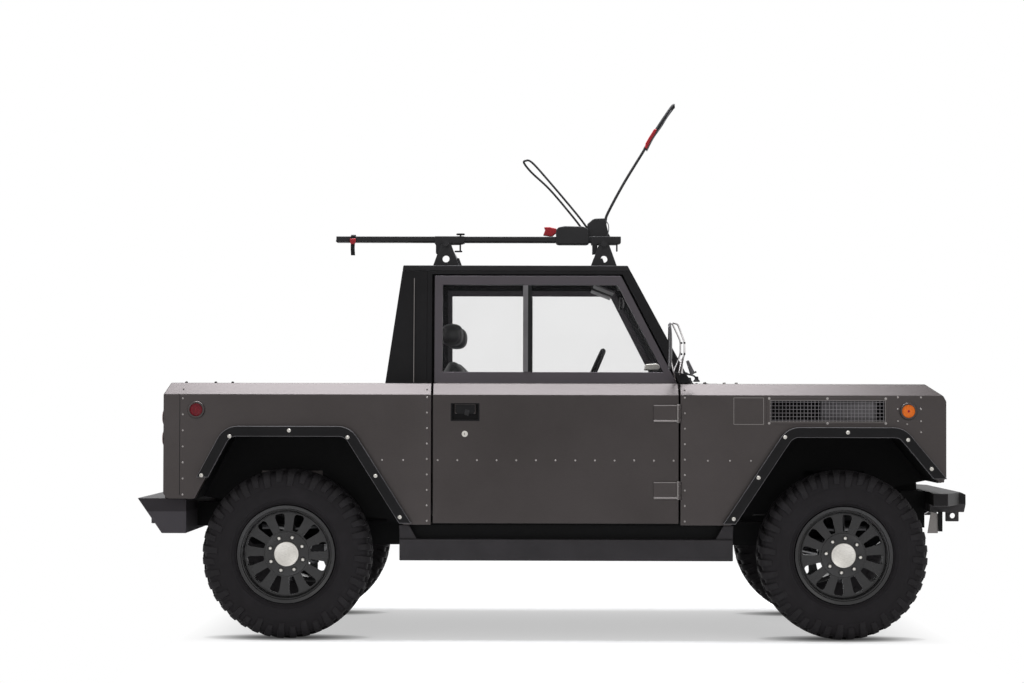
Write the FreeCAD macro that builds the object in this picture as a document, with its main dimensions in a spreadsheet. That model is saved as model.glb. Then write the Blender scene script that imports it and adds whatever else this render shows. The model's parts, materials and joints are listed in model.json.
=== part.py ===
import FreeCAD, Part
import math
import os
import Sketcher

# A lifted two-door utility 4x4 with a short open bed, built from flat folded panels.
# X points forward, Y to the vehicle's left, Z up, and the wheels stand on Z = 0.
# The origin is under the middle of the whole vehicle. All lengths are in millimetres.

doc = FreeCAD.newDocument("utility_four_by_four")
sheet = doc.addObject("Spreadsheet::Sheet", "Sizes")
Vector = FreeCAD.Vector


class Size:
    """A length together with the sheet expression that gives it."""

    def __init__(self, value, text):
        self.value = float(value)
        self.text = text

    def __float__(self):
        return self.value

    def __add__(self, other):
        other = as_size(other)
        return Size(self.value + other.value, f"({self.text} + {other.text})")

    def __sub__(self, other):
        other = as_size(other)
        return Size(self.value - other.value, f"({self.text} - {other.text})")

    def __mul__(self, other):
        other = as_size(other)
        return Size(self.value * other.value, f"({self.text} * {other.text})")

    def __truediv__(self, other):
        other = as_size(other)
        return Size(self.value / other.value, f"({self.text} / {other.text})")

    def __neg__(self):
        return Size(-self.value, f"(0 - {self.text})")

    def __radd__(self, other):
        return as_size(other) + self

    def __rsub__(self, other):
        return as_size(other) - self

    def __rmul__(self, other):
        return as_size(other) * self


def as_size(number):
    """A plain number becomes a length that is its own expression."""
    return number if isinstance(number, Size) else Size(number, f"({float(number)!r})")


def root(square):
    """The square root of a length product."""
    return Size(math.sqrt(square.value), f"sqrt({square.text})")


def size(name, value, note):
    """Write one driving dimension into the sheet and return it."""
    row = size.count = getattr(size, "count", 0) + 1
    sheet.set(f"A{row}", name)
    sheet.set(f"B{row}", repr(value))
    sheet.set(f"C{row}", note)
    sheet.setAlias(f"B{row}", name)
    return Size(value, f"Sizes.{name}")


# Wheels and where they stand
wheelbase = size("wheelbase", 2667.0, "between the axles")
track = size("track", 1605.0, "between the tyres' middle planes")
tyre_radius = size("tyre_radius", 407.0, "to the lugs' tips, and the axle's height")
tyre_width = size("tyre_width", 285.0, "over the sidewalls")
tyre_shoulder = size("tyre_shoulder", 24.0, "how far in the tread starts from the sidewall")
sidewall = size("sidewall", 74.0, "from the lugs' tips down to the sidewall's fold")
lug_height = size("lug_height", 14.0, "lug above the tread's base")
lug_width = size("lug_width", 78.0, "lug along the tread")
lug_length = size("lug_length", 122.0, "lug across the tread")
bead_radius = size("bead_radius", 222.0, "tyre's inner edge")
rim_lip = size("rim_lip", 12.0, "rim flange above the bead")
rim_wall = size("rim_wall", 11.0, "rim barrel's thickness")
disc_inset = size("disc_inset", 62.0, "wheel disc behind the tyre's outer face")
disc_wall = size("disc_wall", 16.0, "wheel disc's thickness")
hub_face_radius = size("hub_face_radius", 112.0, "raised middle of the wheel disc")
cap_radius = size("cap_radius", 59.0, "hub cap")
cap_height = size("cap_height", 34.0, "hub cap's height on the disc")
nut_circle = size("nut_circle", 82.5, "radius of the wheel nuts' circle")
nut_radius = size("nut_radius", 12.0, "wheel nut")
slot_inner = size("slot_inner", 122.0, "inner end of a wheel slot")
slot_outer = size("slot_outer", 186.0, "outer end of a wheel slot")
slot_width = size("slot_width", 48.0, "wheel slot across its outer end")
slot_foot = size("slot_foot", 26.0, "wheel slot across its inner end")


def above_axle(alias, height, note):
    """A level that is kept as a height above the axles' line."""
    return tyre_radius + size(alias, height, note)


# Overall shape of the body, lengths from the axles and heights above them
rear_overhang = size("rear_overhang", 585.5, "rear axle to the tailgate's face")
front_overhang = size("front_overhang", 483.5, "front axle to the nose panel's face")
rear_bumper_reach = size("rear_bumper_reach", 134.0, "rear bumper beyond the tailgate")
front_bumper_reach = size("front_bumper_reach", 147.0, "front bumper beyond the nose")
half_width = size("half_width", 971.5, "body side from the middle")
body_base = above_axle("body_base", 144.0, "lower edge of the body sides")
waist = above_axle("waist", 764.0, "height of the fold that runs all round")
fold = size("fold", 56.0, "fold's height and its inset, at 45 degrees")
side_wall = size("side_wall", 70.0, "thickness of the body sides and doors")
panel_wall = size("panel_wall", 27.0, "thickness of flat panels")
thin_wall = size("thin_wall", 12.0, "thickness of inner sheet pieces")
seat_gap = size("seat_gap", 0.3, "between soft or curved pieces and what carries them")
running_gap = size("running_gap", 8.0, "round the doors, hood and tailgate")

# Doors and cab
door_behind = size("door_behind", 698.5, "rear axle to the door's rear gap")
door_before = size("door_before", 787.5, "door's front gap to the front axle")
door_base = above_axle("door_base", 152.0, "door's lower edge")
shoulder = size("shoulder", 103.5, "level shelf between the body's fold and the cab")
cab_lean = size("cab_lean", 44.0, "how far the cab's sides lean in up to the roof")
frame_wall = size("frame_wall", 34.0, "thickness of the window frames")
roof_top = above_axle("roof_top", 1393.0, "roof's upper face")
door_top = above_axle("door_top", 1343.0, "door frame's upper edge")
cab_behind = size("cab_behind", 233.0, "cab's back at the deck behind the door's rear gap")
cab_back_lean = size("cab_back_lean", 84.0, "how far the cab's back leans forward up to the roof")
screen_ahead = size("screen_ahead", 67.0, "windscreen's foot ahead of the door's front gap")
screen_lean = size("screen_lean", 309.0, "how far the windscreen leans back up to the roof")
door_lean = size("door_lean", 274.0, "how far the door frame's front edge leans back")
pane_split = size("pane_split", 453.0, "window divider ahead of the door's rear gap")
pillar = size("pillar", 48.0, "width of the cab's pillars")
sill_rail = size("sill_rail", 56.0, "door frame below the window, above the deck")
head_rail = size("head_rail", 45.0, "door frame above the window")
glass_wall = size("glass_wall", 6.0, "glass thickness")
floor_top = above_axle("floor_top", 183.0, "cab floor")
sill_base = above_axle("sill_base", 76.0, "underside of the black sill below the doors")

# Wheel arches, lengths from each axle
arch_top = above_axle("arch_top", 564.0, "upper edge of the arch openings")
arch_band = size("arch_band", 50.0, "width of the flare's face")
arch_lap = size("arch_lap", 12.0, "how far the flare hides the panel's cut edge")
arch_corner = size("arch_corner", 60.0, "radius of the arch's upper corners")
flare_reach = size("flare_reach", 40.0, "flare beyond the body side")
rear_head_back = size("rear_head_back", 261.5, "rear arch's flat top, behind the axle")
rear_head_ahead = size("rear_head_ahead", 283.5, "rear arch's flat top, ahead of the axle")
rear_foot_back = size("rear_foot_back", 421.5, "rear arch's foot behind the axle")
rear_foot_ahead = size("rear_foot_ahead", 549.0, "rear arch's foot ahead of the axle")
front_head_back = size("front_head_back", 248.5, "front arch's flat top, behind the axle")
front_head_ahead = size("front_head_ahead", 254.5, "front arch's flat top, ahead of the axle")
front_foot_back = size("front_foot_back", 527.0, "front arch's foot behind the axle")
front_foot_ahead = size("front_foot_ahead", 433.0, "front arch's foot ahead of the axle")
tail_base = above_axle("tail_base", 266.0, "body's lower edge behind the rear wheel")
nose_base = above_axle("nose_base", 350.0, "body's lower edge ahead of the front wheel")
flare_foot = above_axle("flare_foot", 369.0, "lower ends of the flares at the body's ends")
corner_cut = size("corner_cut", 24.0, "cut corners at the body's lower ends")
nose_fold_back = size("nose_fold_back", 95.0, "hood's front fold starts this far behind the nose")
nose_fold_ahead = size("nose_fold_ahead", 14.0, "and ends this far behind it")

# Frame, running gear and underside
rail_inner = size("rail_inner", 350.0, "frame rail's inner face from the middle")
rail_width = size("rail_width", 70.0, "frame rail across")
rail_base = above_axle("rail_base", 23.0, "frame rail's underside")
rail_height = size("rail_height", 118.0, "frame rail's height")
rail_kick = size("rail_kick", 90.0, "how far the rails rise beyond the wheels")
battery_room = size("battery_room", 503.5, "battery block's ends from the inner crossmembers")
cross_width = size("cross_width", 60.0, "crossmember along the vehicle")
battery_base = above_axle("battery_base", -7.0, "underside of the battery block")
drive_length = size("drive_length", 260.0, "drive unit along the vehicle")
drive_half = size("drive_half", 230.0, "drive unit's half width")
drive_base = above_axle("drive_base", -22.0, "drive unit's underside")
drive_height = size("drive_height", 235.0, "drive unit's height")
pin_offset = size("pin_offset", 72.5, "steering axis inboard of the tyre's middle plane")
ball_spread = size("ball_spread", 117.0, "ball joints above and below the axle line")
lower_spread = size("lower_spread", 90.0, "lower arm's pivots before and behind the axle")
upper_spread = size("upper_spread", 130.0, "upper arm's pivots before and behind the axle")
bush_radius = size("bush_radius", 22.0, "suspension arm's inner bush")
lower_pivot = above_axle("lower_pivot", 45.0, "lower arm's pivot height")
upper_pivot = above_axle("upper_pivot", 119.0, "upper arm's pivot height")
arm_radius = size("arm_radius", 13.0, "suspension arm tube")
eye_radius = size("eye_radius", 28.0, "suspension arm's outer eye")
eye_height = size("eye_height", 31.0, "height of that eye")
pin_radius = size("pin_radius", 12.0, "ball joint's pin")
steer_arm = size("steer_arm", 95.0, "knuckle's steering arm behind its axis")
coil_radius = size("coil_radius", 46.0, "spring round the damper")
damper_radius = size("damper_radius", 24.0, "damper tube")

# Bed
bed_floor = above_axle("bed_floor", 393.0, "bed floor's upper face")
liner_depth = size("liner_depth", 300.0, "rear wheel boxes, inward from the body side's inner face")
front_liner_depth = size("front_liner_depth", 440.0, "front wheel boxes, inward likewise")

# Bumpers and rock rails
rail_guard_base = above_axle("rail_guard_base", -26.0, "rock rail's underside")
rail_guard_height = size("rail_guard_height", 102.0, "rock rail's height")
guard_lap = size("guard_lap", 5.0, "rock rail's ends past the arches' feet")
rear_bumper_top = above_axle("rear_bumper_top", 265.0, "rear bumper's upper edge")
rear_bumper_height = size("rear_bumper_height", 168.0, "rear bumper's height")
front_bumper_top = above_axle("front_bumper_top", 295.0, "front bumper's upper edge")
front_bumper_height = size("front_bumper_height", 98.0, "front bumper's height")
tow_bore = size("tow_bore", 13.5, "recovery eye's hole, radius")
tow_plate = size("tow_plate", 25.0, "recovery eye's plate")

# Lamps
headlamp_radius = size("headlamp_radius", 92.0, "headlamp lens")
headlamp_inset = size("headlamp_inset", 281.5, "headlamp's middle in from the body side")
headlamp_level = above_axle("headlamp_level", 578.0, "headlamp's height")
marker_radius = size("marker_radius", 31.0, "side marker lens")
marker_level = above_axle("marker_level", 691.0, "side marker's height")
front_marker_ahead = size("front_marker_ahead", 302.5, "amber marker ahead of the front axle")
rear_marker_back = size("rear_marker_back", 428.5, "red marker behind the rear axle")

# Roof bars and the cycle carrier on them
bar_radius = size("bar_radius", 14.3, "roof crossbar")
bar_level = above_axle("bar_level", 1501.0, "roof crossbar's middle height")
bar_end = size("bar_end", 35.0, "roof crossbar beyond its foot")
bar_back = size("bar_back", 205.0, "rear crossbar ahead of the roof's back edge")
bar_front = size("bar_front", 114.0, "front crossbar behind the windscreen's head")
bar_foot = size("bar_foot", 63.0, "half length of a crossbar's foot on the roof")
bar_foot_inset = size("bar_foot_inset", 68.0, "crossbar's foot in from the roof's edge")
tray_side = size("tray_side", 540.0, "cycle tray from the middle, on the right")
tray_width = size("tray_width", 92.0, "cycle tray across")
tray_back = size("tray_back", 546.0, "cycle tray's end behind the rear crossbar")
tray_ahead = size("tray_ahead", 72.0, "cycle tray's end ahead of the front crossbar")
tray_wall = size("tray_wall", 28.0, "cycle tray's height")

# Seats and controls
seat_side = size("seat_side", 390.0, "seat's middle from the middle")
seat_width = size("seat_width", 500.0, "seat across")
seat_reach = size("seat_reach", 165.0, "seat cushion's rear edge ahead of the door's rear gap")
seat_length = size("seat_length", 520.0, "seat cushion's length")
seat_height = size("seat_height", 330.0, "cushion's top above the floor")
cushion_wall = size("cushion_wall", 150.0, "cushion's thickness")
back_height = size("back_height", 560.0, "seat back above the cushion")
wheel_ring = size("wheel_ring", 185.0, "steering wheel's radius")
ring_tube = size("ring_tube", 15.0, "steering wheel's rim")
wheel_reach = size("wheel_reach", 410.0, "steering wheel's middle behind the door's front gap")
wheel_level = above_axle("wheel_level", 828.0, "steering wheel's height")
column_fall = size("column_fall", 0.437, "how much the column drops for each length forward")

# Lines that many pieces share
middle = (rear_overhang + rear_bumper_reach - front_overhang - front_bumper_reach) / 2
rear_axle = middle - wheelbase / 2
front_axle = middle + wheelbase / 2
tail = rear_axle - rear_overhang
nose = front_axle + front_overhang
deck = waist + fold
inner_side = half_width - side_wall
door_rear = rear_axle + door_behind
door_front = front_axle - door_before
half_gap = running_gap / 2
cab_back = door_rear - cab_behind
roof_base = roof_top - panel_wall
screen_foot = door_front + screen_ahead
screen_head = screen_foot - screen_lean
roof_back = cab_back + cab_back_lean
cab_half_base = half_width - fold - shoulder
cab_half_top = cab_half_base - cab_lean
window_sill = deck + sill_rail
window_head = door_top - head_rail
cushion_top = floor_top + seat_height
cushion_low = cushion_top - cushion_wall
seat_rear = door_rear + seat_reach
seat_front = seat_rear + seat_length

NODES = {}
PLANES = {"XY": "XY_Plane", "XZ": "XZ_Plane", "YZ": "YZ_Plane"}


def keep(name, obj):
    """Name a finished sub-part, which then gets a file of its own."""
    obj.Label = name
    NODES[name] = obj
    return obj


def origin_plane(body, plane):
    """The body's own origin plane."""
    return [item for item in body.Origin.OriginFeatures if item.Role == PLANES[plane]][0]


def outline(sketch, points):
    """A closed run of straight edges whose corners are bound to the sheet."""
    points = [(as_size(a), as_size(b)) for a, b in points]
    corners = [Vector(a.value, b.value, 0) for a, b in points]
    first = sketch.GeometryCount
    count = len(points)
    for index in range(count):
        line = Part.LineSegment(corners[index], corners[(index + 1) % count])
        sketch.addGeometry(line, False)
    for index in range(count):
        here, after = first + index, first + (index + 1) % count
        sketch.addConstraint(Sketcher.Constraint("Coincident", here, 2, after, 1))
    for index, place in enumerate(points):
        for kind, length in zip(("DistanceX", "DistanceY"), place):
            rule = Sketcher.Constraint(kind, -1, 1, first + index, 1, length.value)
            number = sketch.addConstraint(rule)
            sketch.setExpression(f"Constraints[{number}]", length.text)


def bind(obj, prop, length):
    """Bind one property of a document object to a length."""
    obj.setExpression(prop, as_size(length).text)


def plane_sketch(body, name, plane, level, across=0.0, up=0.0):
    """A sketch on one of the body's origin planes, moved along and across it."""
    sketch = body.newObject("Sketcher::SketchObject", name)
    sketch.AttachmentSupport = (origin_plane(body, plane), [""])
    sketch.MapMode = "FlatFace"
    bind(sketch, "AttachmentOffset.Base.x", across)
    bind(sketch, "AttachmentOffset.Base.y", up)
    bind(sketch, "AttachmentOffset.Base.z", level)
    return sketch


def prism(name, plane, points, low, high, rounds=None, holes=()):
    """An outline with straight sides, padded from one level to another across its plane.

    rounds maps a corner's number to the radius of its fillet.
    """
    low, high = as_size(low), as_size(high)
    body = doc.addObject("PartDesign::Body", name)
    level = -high if plane == "XZ" else low
    sketch = plane_sketch(body, f"{name}_outline", plane, level)
    outline(sketch, points)
    for hole in holes:
        outline(sketch, hole)
    pad = body.newObject("PartDesign::Pad", f"{name}_pad")
    pad.Profile = sketch
    bind(pad, "Length", high - low)
    body.Tip = pad
    if rounds:
        doc.recompute()
        for radius, corners in rounds:
            fillet_corners(body, plane, points, corners, radius)
    return body


def fillet_corners(body, plane, points, corners, radius):
    """Round the edges that stand on some corners of an outline."""
    axes = {"XZ": ("x", "z"), "YZ": ("y", "z"), "XY": ("x", "y")}[plane]
    wanted = [(float(points[i][0]), float(points[i][1])) for i in corners]
    base = body.Tip
    names = []
    for number, edge in enumerate(base.Shape.Edges, 1):
        ends = [tuple(getattr(v.Point, axis) for axis in axes) for v in edge.Vertexes]
        for place in wanted:
            if len(ends) == 2 and all(math.dist(end, place) < 0.01 for end in ends):
                names.append(f"Edge{number}")
    feature = body.newObject("PartDesign::Fillet", f"{body.Name}_round")
    feature.Base = (base, names)
    bind(feature, "Radius", radius)
    body.Tip = feature
    doc.recompute()


def block(name, x0, x1, y0, y1, z0, z1):
    """A box between two corners."""
    box = doc.addObject("Part::Box", name)
    for axis, low, high, side in zip("xyz", (x0, y0, z0), (x1, y1, z1), ("Length", "Width", "Height")):
        bind(box, f"Placement.Base.{axis}", low)
        bind(box, side, as_size(high) - low)
    return box


def rod(name, start, end, radius):
    """A round bar between two points."""
    start = [as_size(value) for value in start]
    end = [as_size(value) for value in end]
    run = [b - a for a, b in zip(start, end)]
    bar = doc.addObject("Part::Cylinder", name)
    bind(bar, "Radius", radius)
    bind(bar, "Height", root(run[0] * run[0] + run[1] * run[1] + run[2] * run[2]))
    turn = FreeCAD.Rotation(Vector(0, 0, 1), Vector(*(item.value for item in run)))
    bar.Placement = FreeCAD.Placement(Vector(0, 0, 0), turn)
    for axis, value in zip("xyz", start):
        bind(bar, f"Placement.Base.{axis}", value)
    return bar


def fuse(name, *pieces):
    """One solid, or a group of solids, out of several."""
    if len(pieces) == 1:
        return pieces[0]
    joined = doc.addObject("Part::MultiFuse", name)
    joined.Shapes = list(pieces)
    joined.Refine = True
    return joined


def cut(name, base, *tools):
    """A solid with others taken out of it."""
    result = doc.addObject("Part::Cut", name)
    result.Base = base
    result.Tool = fuse(f"{name}_tools", *tools)
    result.Refine = True
    return result


def common(name, first, second):
    """What two solids share."""
    result = doc.addObject("Part::Common", name)
    result.Base = first
    result.Tool = second
    result.Refine = True
    return result


def other_side(name, source):
    """The same piece on the vehicle's left."""
    copy = doc.addObject("Part::Mirroring", name)
    copy.Source = source
    copy.Normal = Vector(0, 1, 0)
    copy.Base = Vector(0, 0, 0)
    return copy


def both_sides(name, right):
    """A right-hand piece and its left-hand copy in one node."""
    return keep(name, fuse(f"{name}_pair", right, other_side(f"{name}_left", right)))


def slope(low, high, level_low, level_high, level):
    """Where a straight leaning line stands at some level."""
    low, high, level = as_size(low), as_size(high), as_size(level)
    share = (level - level_low) / (as_size(level_high) - level_low)
    return low + (high - low) * share


def window_plane(level):
    """How far from the middle the cab's outer side is at some level."""
    return slope(cab_half_base, cab_half_top, deck, roof_base, level)


def screen_line(level):
    """How far forward the windscreen's outer face is at some level."""
    return slope(screen_foot, screen_head, deck, roof_top, level)


def back_line(level):
    """How far back the cab's rear face is at some level."""
    return slope(cab_back, roof_back, deck, roof_top, level)


def turned(name, across, height, profile):
    """A solid of revolution about a line along Y through (across, height)."""
    body = doc.addObject("PartDesign::Body", name)
    sketch = plane_sketch(body, f"{name}_profile", "YZ", across, 0.0, height)
    outline(sketch, profile)
    turn = body.newObject("PartDesign::Revolution", f"{name}_turn")
    turn.Profile = sketch
    turn.ReferenceAxis = (sketch, ["H_Axis"])
    turn.Angle = 360
    body.Tip = turn
    return body


def around(name, body, feature, sketch, count):
    """Repeat a feature round its sketch's own normal."""
    pattern = body.newObject("PartDesign::PolarPattern", name)
    pattern.Originals = [feature]
    pattern.Axis = (sketch, ["N_Axis"])
    pattern.Angle = 360
    pattern.Occurrences = count
    body.Tip = pattern
    return pattern


# Body sides: the outer face is flat to the waist and folds in at 45 degrees above it

def side_section(name, back, ahead, base):
    """The body side's cross section, run from one length to another on the right."""
    points = [(-half_width, base), (-half_width, waist), (-half_width + fold, deck),
              (-inner_side, deck), (-inner_side, base)]
    return prism(name, "YZ", points, back, ahead)


def arch(end, grow=0.0, back_level=None, ahead_level=None):
    """The wheel opening's outline, grown evenly: two straight legs and a flat top."""
    if end == "rear":
        axle, base_back, base_ahead = rear_axle, tail_base, body_base
        head_back, head_ahead = rear_head_back, rear_head_ahead
        foot_back, foot_ahead = rear_foot_back, rear_foot_ahead
    else:
        axle, base_back, base_ahead = front_axle, body_base, nose_base
        head_back, head_ahead = front_head_back, front_head_ahead
        foot_back, foot_ahead = front_foot_back, front_foot_ahead
    grow = as_size(grow)
    top = arch_top + grow
    lean_back = (foot_back - head_back) / (arch_top - base_back)
    lean_ahead = (foot_ahead - head_ahead) / (arch_top - base_ahead)
    side_back = head_back + grow * root(lean_back * lean_back + 1)
    side_ahead = head_ahead + grow * root(lean_ahead * lean_ahead + 1)
    low_back = as_size(back_level if back_level is not None else base_back)
    low_ahead = as_size(ahead_level if ahead_level is not None else base_ahead)
    return [(axle - side_back - lean_back * (arch_top - low_back), low_back),
            (axle - side_back + lean_back * grow, top),
            (axle + side_ahead - lean_ahead * grow, top),
            (axle + side_ahead + lean_ahead * (arch_top - low_ahead), low_ahead)]


def marker_bore(name, along, level):
    """The hole for a round lamp in the body's side."""
    return rod(name, (along, -half_width - 20, level), (along, -half_width + panel_wall, level),
               marker_radius + seat_gap)


rear_arch = arch("rear", arch_lap)
front_arch = arch("front", arch_lap)
rear_panel_points = [(tail, tail_base + corner_cut), (tail + corner_cut, tail_base)] + rear_arch + [
    (door_rear - half_gap, body_base), (door_rear - half_gap, deck), (tail + fold * 0.55, deck),
    (tail, waist)]
rear_marker = rear_axle - rear_marker_back
front_marker = front_axle + front_marker_ahead
tail_lamp_side = half_width - side_wall / 2
tail_lamp_levels = (waist - 110, waist - 210)

rear_side = prism("rear_side", "XZ", rear_panel_points, -half_width, -inner_side,
                  rounds=[(arch_corner, (3, 4))])
rear_folded = common("rear_side_folded", rear_side, side_section("rear_side_section", tail, door_rear, 500.0))
tail_bores = [rod(f"tail_bore_{number}", (tail - 20, -tail_lamp_side, level),
                  (tail + panel_wall, -tail_lamp_side, level),
                  marker_radius - 4 + seat_gap) for number, level in enumerate(tail_lamp_levels, 1)]
rear_panel = cut("rear_side_panel", rear_folded, marker_bore("rear_marker_bore", rear_marker, marker_level),
                 *tail_bores)
keep("side_panel_right", rear_panel)
keep("side_panel_left", other_side("side_panel_mirrored", rear_panel))

# Front fender, with the long vent in its side and the socket for the hinge leaves
vent_back, vent_ahead = front_axle - 357.5, front_axle + 195.5
vent_low, vent_high = waist - 127, waist - 25
front_panel_points = [(door_front + half_gap, body_base)] + front_arch + [
    (nose - corner_cut, nose_base), (nose, nose_base + corner_cut), (nose, waist - 26),
    (nose - nose_fold_ahead, waist), (nose - nose_fold_back, deck), (door_front + half_gap, deck)]
fender = prism("fender", "XZ", front_panel_points, -half_width, -inner_side, rounds=[(arch_corner, (2, 3))])
fender_folded = common("fender_folded", fender, side_section("fender_section", door_front, nose, 500.0))
vent_hole = block("vent_hole", vent_back, vent_ahead, -half_width - 10, -inner_side + 10, vent_low, vent_high)
hinge_side = half_width + 9
hinge_levels = (waist - 454.5, waist - 87.5)
hinge_half = 20.0


def hinge_barrel(name, low, high):
    """A piece of a door hinge's barrel on its upright pin."""
    return rod(name, (door_front, -hinge_side, low), (door_front, -hinge_side, high), 9)


fender_hinges = []
for number, level in enumerate(hinge_levels, 1):
    for side, low, high in (("low", level - 42, level - hinge_half - seat_gap),
                            ("high", level + hinge_half + seat_gap, level + 42)):
        fender_hinges.append(hinge_barrel(f"fender_hinge_{number}_{side}", low, high))
        fender_hinges.append(block(f"fender_hinge_web_{number}_{side}", door_front + 2, door_front + 9,
                                   -hinge_side, -half_width + 5, low, high))
fender_panel = cut("fender_panel", fuse("fender_whole", fender_folded, *fender_hinges), vent_hole,
                   marker_bore("front_marker_bore", front_marker, marker_level))
keep("fender_right", fender_panel)
keep("fender_left", other_side("fender_mirrored", fender_panel))

# Black flares round the arches, standing out from the body side


def flare(end):
    """The band round one arch, between its opening and the same outline grown."""
    low_back = flare_foot if end == "rear" else body_base + 8
    low_ahead = body_base + 8 if end == "rear" else flare_foot
    outer = arch(end, arch_band, low_back, low_ahead)
    inner = arch(end, 0.0, low_back, low_ahead)
    points = outer + inner[::-1]
    return prism(f"flare_{end}", "XZ", points, -half_width - flare_reach, -half_width,
                 rounds=[(arch_corner + arch_band, (1, 2)), (arch_corner - arch_lap, (5, 6))])


both_sides("arch_flares", fuse("flares_right", flare("rear"), flare("front")))

# Wheel boxes: folded sheet over each wheel, open to the outside and below


def wheel_box(end, depth, axle, back_low, ahead_low):
    """A shell that follows the arch inwards from the body side."""
    outer = arch(end, arch_lap + thin_wall, back_low, ahead_low)
    shell = prism(f"box_{end}", "XZ", outer, -inner_side, -inner_side + depth)
    hollow_points = arch(end, arch_lap, back_low - 400, ahead_low - 400)
    hollow = prism(f"box_{end}_hollow", "XZ", hollow_points, -inner_side - 10,
                   -inner_side + depth - thin_wall)
    gate = block(f"box_{end}_gate", axle - 150, axle + 150, -inner_side + depth - 2 * thin_wall,
                 -inner_side + depth + 10, 300, 800)
    return cut(f"wheel_box_{end}", shell, hollow, gate)


box_cuts = []
for end, depth, low in (("rear", liner_depth, (tail_base, body_base)),
                        ("front", front_liner_depth, (body_base, nose_base))):
    tool = prism(f"box_room_{end}", "XZ", arch(end, arch_lap + thin_wall + seat_gap, low[0] - 60,
                                               low[1] - 60),
                 -inner_side - 1, -inner_side + depth + seat_gap)
    box_cuts += [tool, other_side(f"box_room_{end}_left", tool)]
both_sides("wheel_boxes", fuse("wheel_boxes_right", wheel_box("rear", liner_depth, rear_axle, tail_base,
                                                              body_base),
                               wheel_box("front", front_liner_depth, front_axle, body_base, nose_base)))

# Doors: one folded section from sill to roof, its window cut in two panes
frame_gap = running_gap * 1.5
door_head_ahead = door_front - door_lean
door_back_edge = door_rear + half_gap
door_front_edge = door_front - half_gap
door_points = [(door_back_edge, door_base), (door_front_edge, door_base), (door_front_edge, deck),
               (door_head_ahead, door_top), (door_back_edge, door_top)]
door_section_points = [
    (-half_width, door_base), (-half_width, waist), (-half_width + fold, deck), (-cab_half_base, deck),
    (-window_plane(door_top), door_top), (-window_plane(door_top) + frame_wall, door_top),
    (-cab_half_base + frame_wall, deck - panel_wall), (-inner_side, deck - panel_wall),
    (-inner_side, door_base)]
window_rim = 39.0
divider = door_rear + pane_split
divider_half = 17.0


def door_edge(level):
    """The door's leaning front edge above the deck."""
    return slope(door_front_edge, door_head_ahead, deck, door_top, level)


pane_rear = [(door_back_edge + window_rim, window_sill), (divider - divider_half, window_sill),
             (divider - divider_half, window_head), (door_back_edge + window_rim, window_head)]
pane_front = [(divider + divider_half, window_sill), (door_edge(window_sill) - window_rim, window_sill),
              (door_edge(window_head) - window_rim, window_head), (divider + divider_half, window_head)]


def window_slab(name, back, ahead, low, high, depth, wall):
    """A leaning slab parallel to the cab's side, some depth behind its outer face."""
    points = [(-window_plane(low) + depth, low), (-window_plane(high) + depth, high),
              (-window_plane(high) + depth + wall, high), (-window_plane(low) + depth + wall, low)]
    return prism(name, "YZ", points, back, ahead)


def pane_cut(name, points):
    """A window opening's outline carried through the cab's side."""
    return prism(name, "XZ", points, -cab_half_base - 30, -cab_half_top + 60)


door_plate = prism("door_plate", "XZ", door_points, -half_width, -cab_half_top + 60)
door_section = prism("door_section", "YZ", door_section_points, door_back_edge, door_front_edge)
handle_inset, handle_length = 94.0, 129.0
handle_back = door_rear + handle_inset
handle_ahead = handle_back + handle_length
handle_low, handle_high = waist - 120, waist - 43
handle_hole = block("handle_hole", handle_back, handle_ahead, -half_width - 10, -half_width + 28,
                    handle_low, handle_high)
handle = block("handle", handle_back + 14, handle_ahead - 14, -half_width + 2, -half_width + 28,
               handle_low + 30, handle_high)
hinge_leaves = []
for number, level in enumerate(hinge_levels, 1):
    hinge_leaves.append(hinge_barrel(f"door_hinge_{number}", level - hinge_half, level + hinge_half))
    hinge_leaves.append(block(f"door_hinge_leaf_{number}", door_front - 123, door_front - 3, -half_width - 7,
                              -half_width, level - hinge_half, level + hinge_half))
shoulder_relief = block("shoulder_relief", door_back_edge - 1, door_back_edge + 14, -inner_side,
                        -cab_half_base + frame_wall + 5, deck - panel_wall - 1, deck)
door_shell = cut("door_shell", common("door_blank", door_plate, door_section), shoulder_relief,
                 pane_cut("pane_hole_rear", pane_rear), pane_cut("pane_hole_front", pane_front), handle_hole)
door = fuse("door", door_shell, handle, *hinge_leaves)
keep("door_right", door)
keep("door_left", other_side("door_mirrored", door))
door_glass = fuse("door_glass", *[
    common(f"{name}_glass", pane_cut(f"{name}_glass_cut", points),
           window_slab(f"{name}_slab", door_back_edge, door_front_edge, window_sill - 5, window_head + 5,
                       frame_wall / 2, glass_wall))
    for name, points in (("rear_pane", pane_rear), ("front_pane", pane_front))])
keep("door_glass_right", door_glass)
keep("door_glass_left", other_side("door_glass_mirrored", door_glass))

# Cab: pillars and rails round the doors, windscreen surround, quarters, back wall and roof
post_front = door_back_edge - frame_gap
post_back = post_front - 24
head_gap = 6.0
ring_points = [(post_back, deck), (post_back, roof_base), (screen_line(roof_base), roof_base),
               (screen_foot, deck), (door_front + half_gap, deck),
               (door_head_ahead + running_gap, door_top + head_gap), (post_front, door_top + head_gap),
               (post_front, deck)]
ring_plate = prism("ring_plate", "XZ", ring_points, -cab_half_base - 10, -cab_half_top + 80)
ring = common("side_ring", ring_plate,
              window_slab("ring_slab", post_back, screen_foot + 10, deck, roof_base, 0.0, pillar))
screen_wall = 45.0
sill_rise, head_drop = 52.0, 40.0


def screen_strip(name, depth, wall, low, high):
    """A strip parallel to the windscreen, some depth behind its outer face."""
    points = [(screen_line(low) - depth, low), (screen_line(high) - depth, high),
              (screen_line(high) - depth - wall, high), (screen_line(low) - depth - wall, low)]
    return prism(name, "XZ", points, -cab_half_base, cab_half_base)


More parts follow.
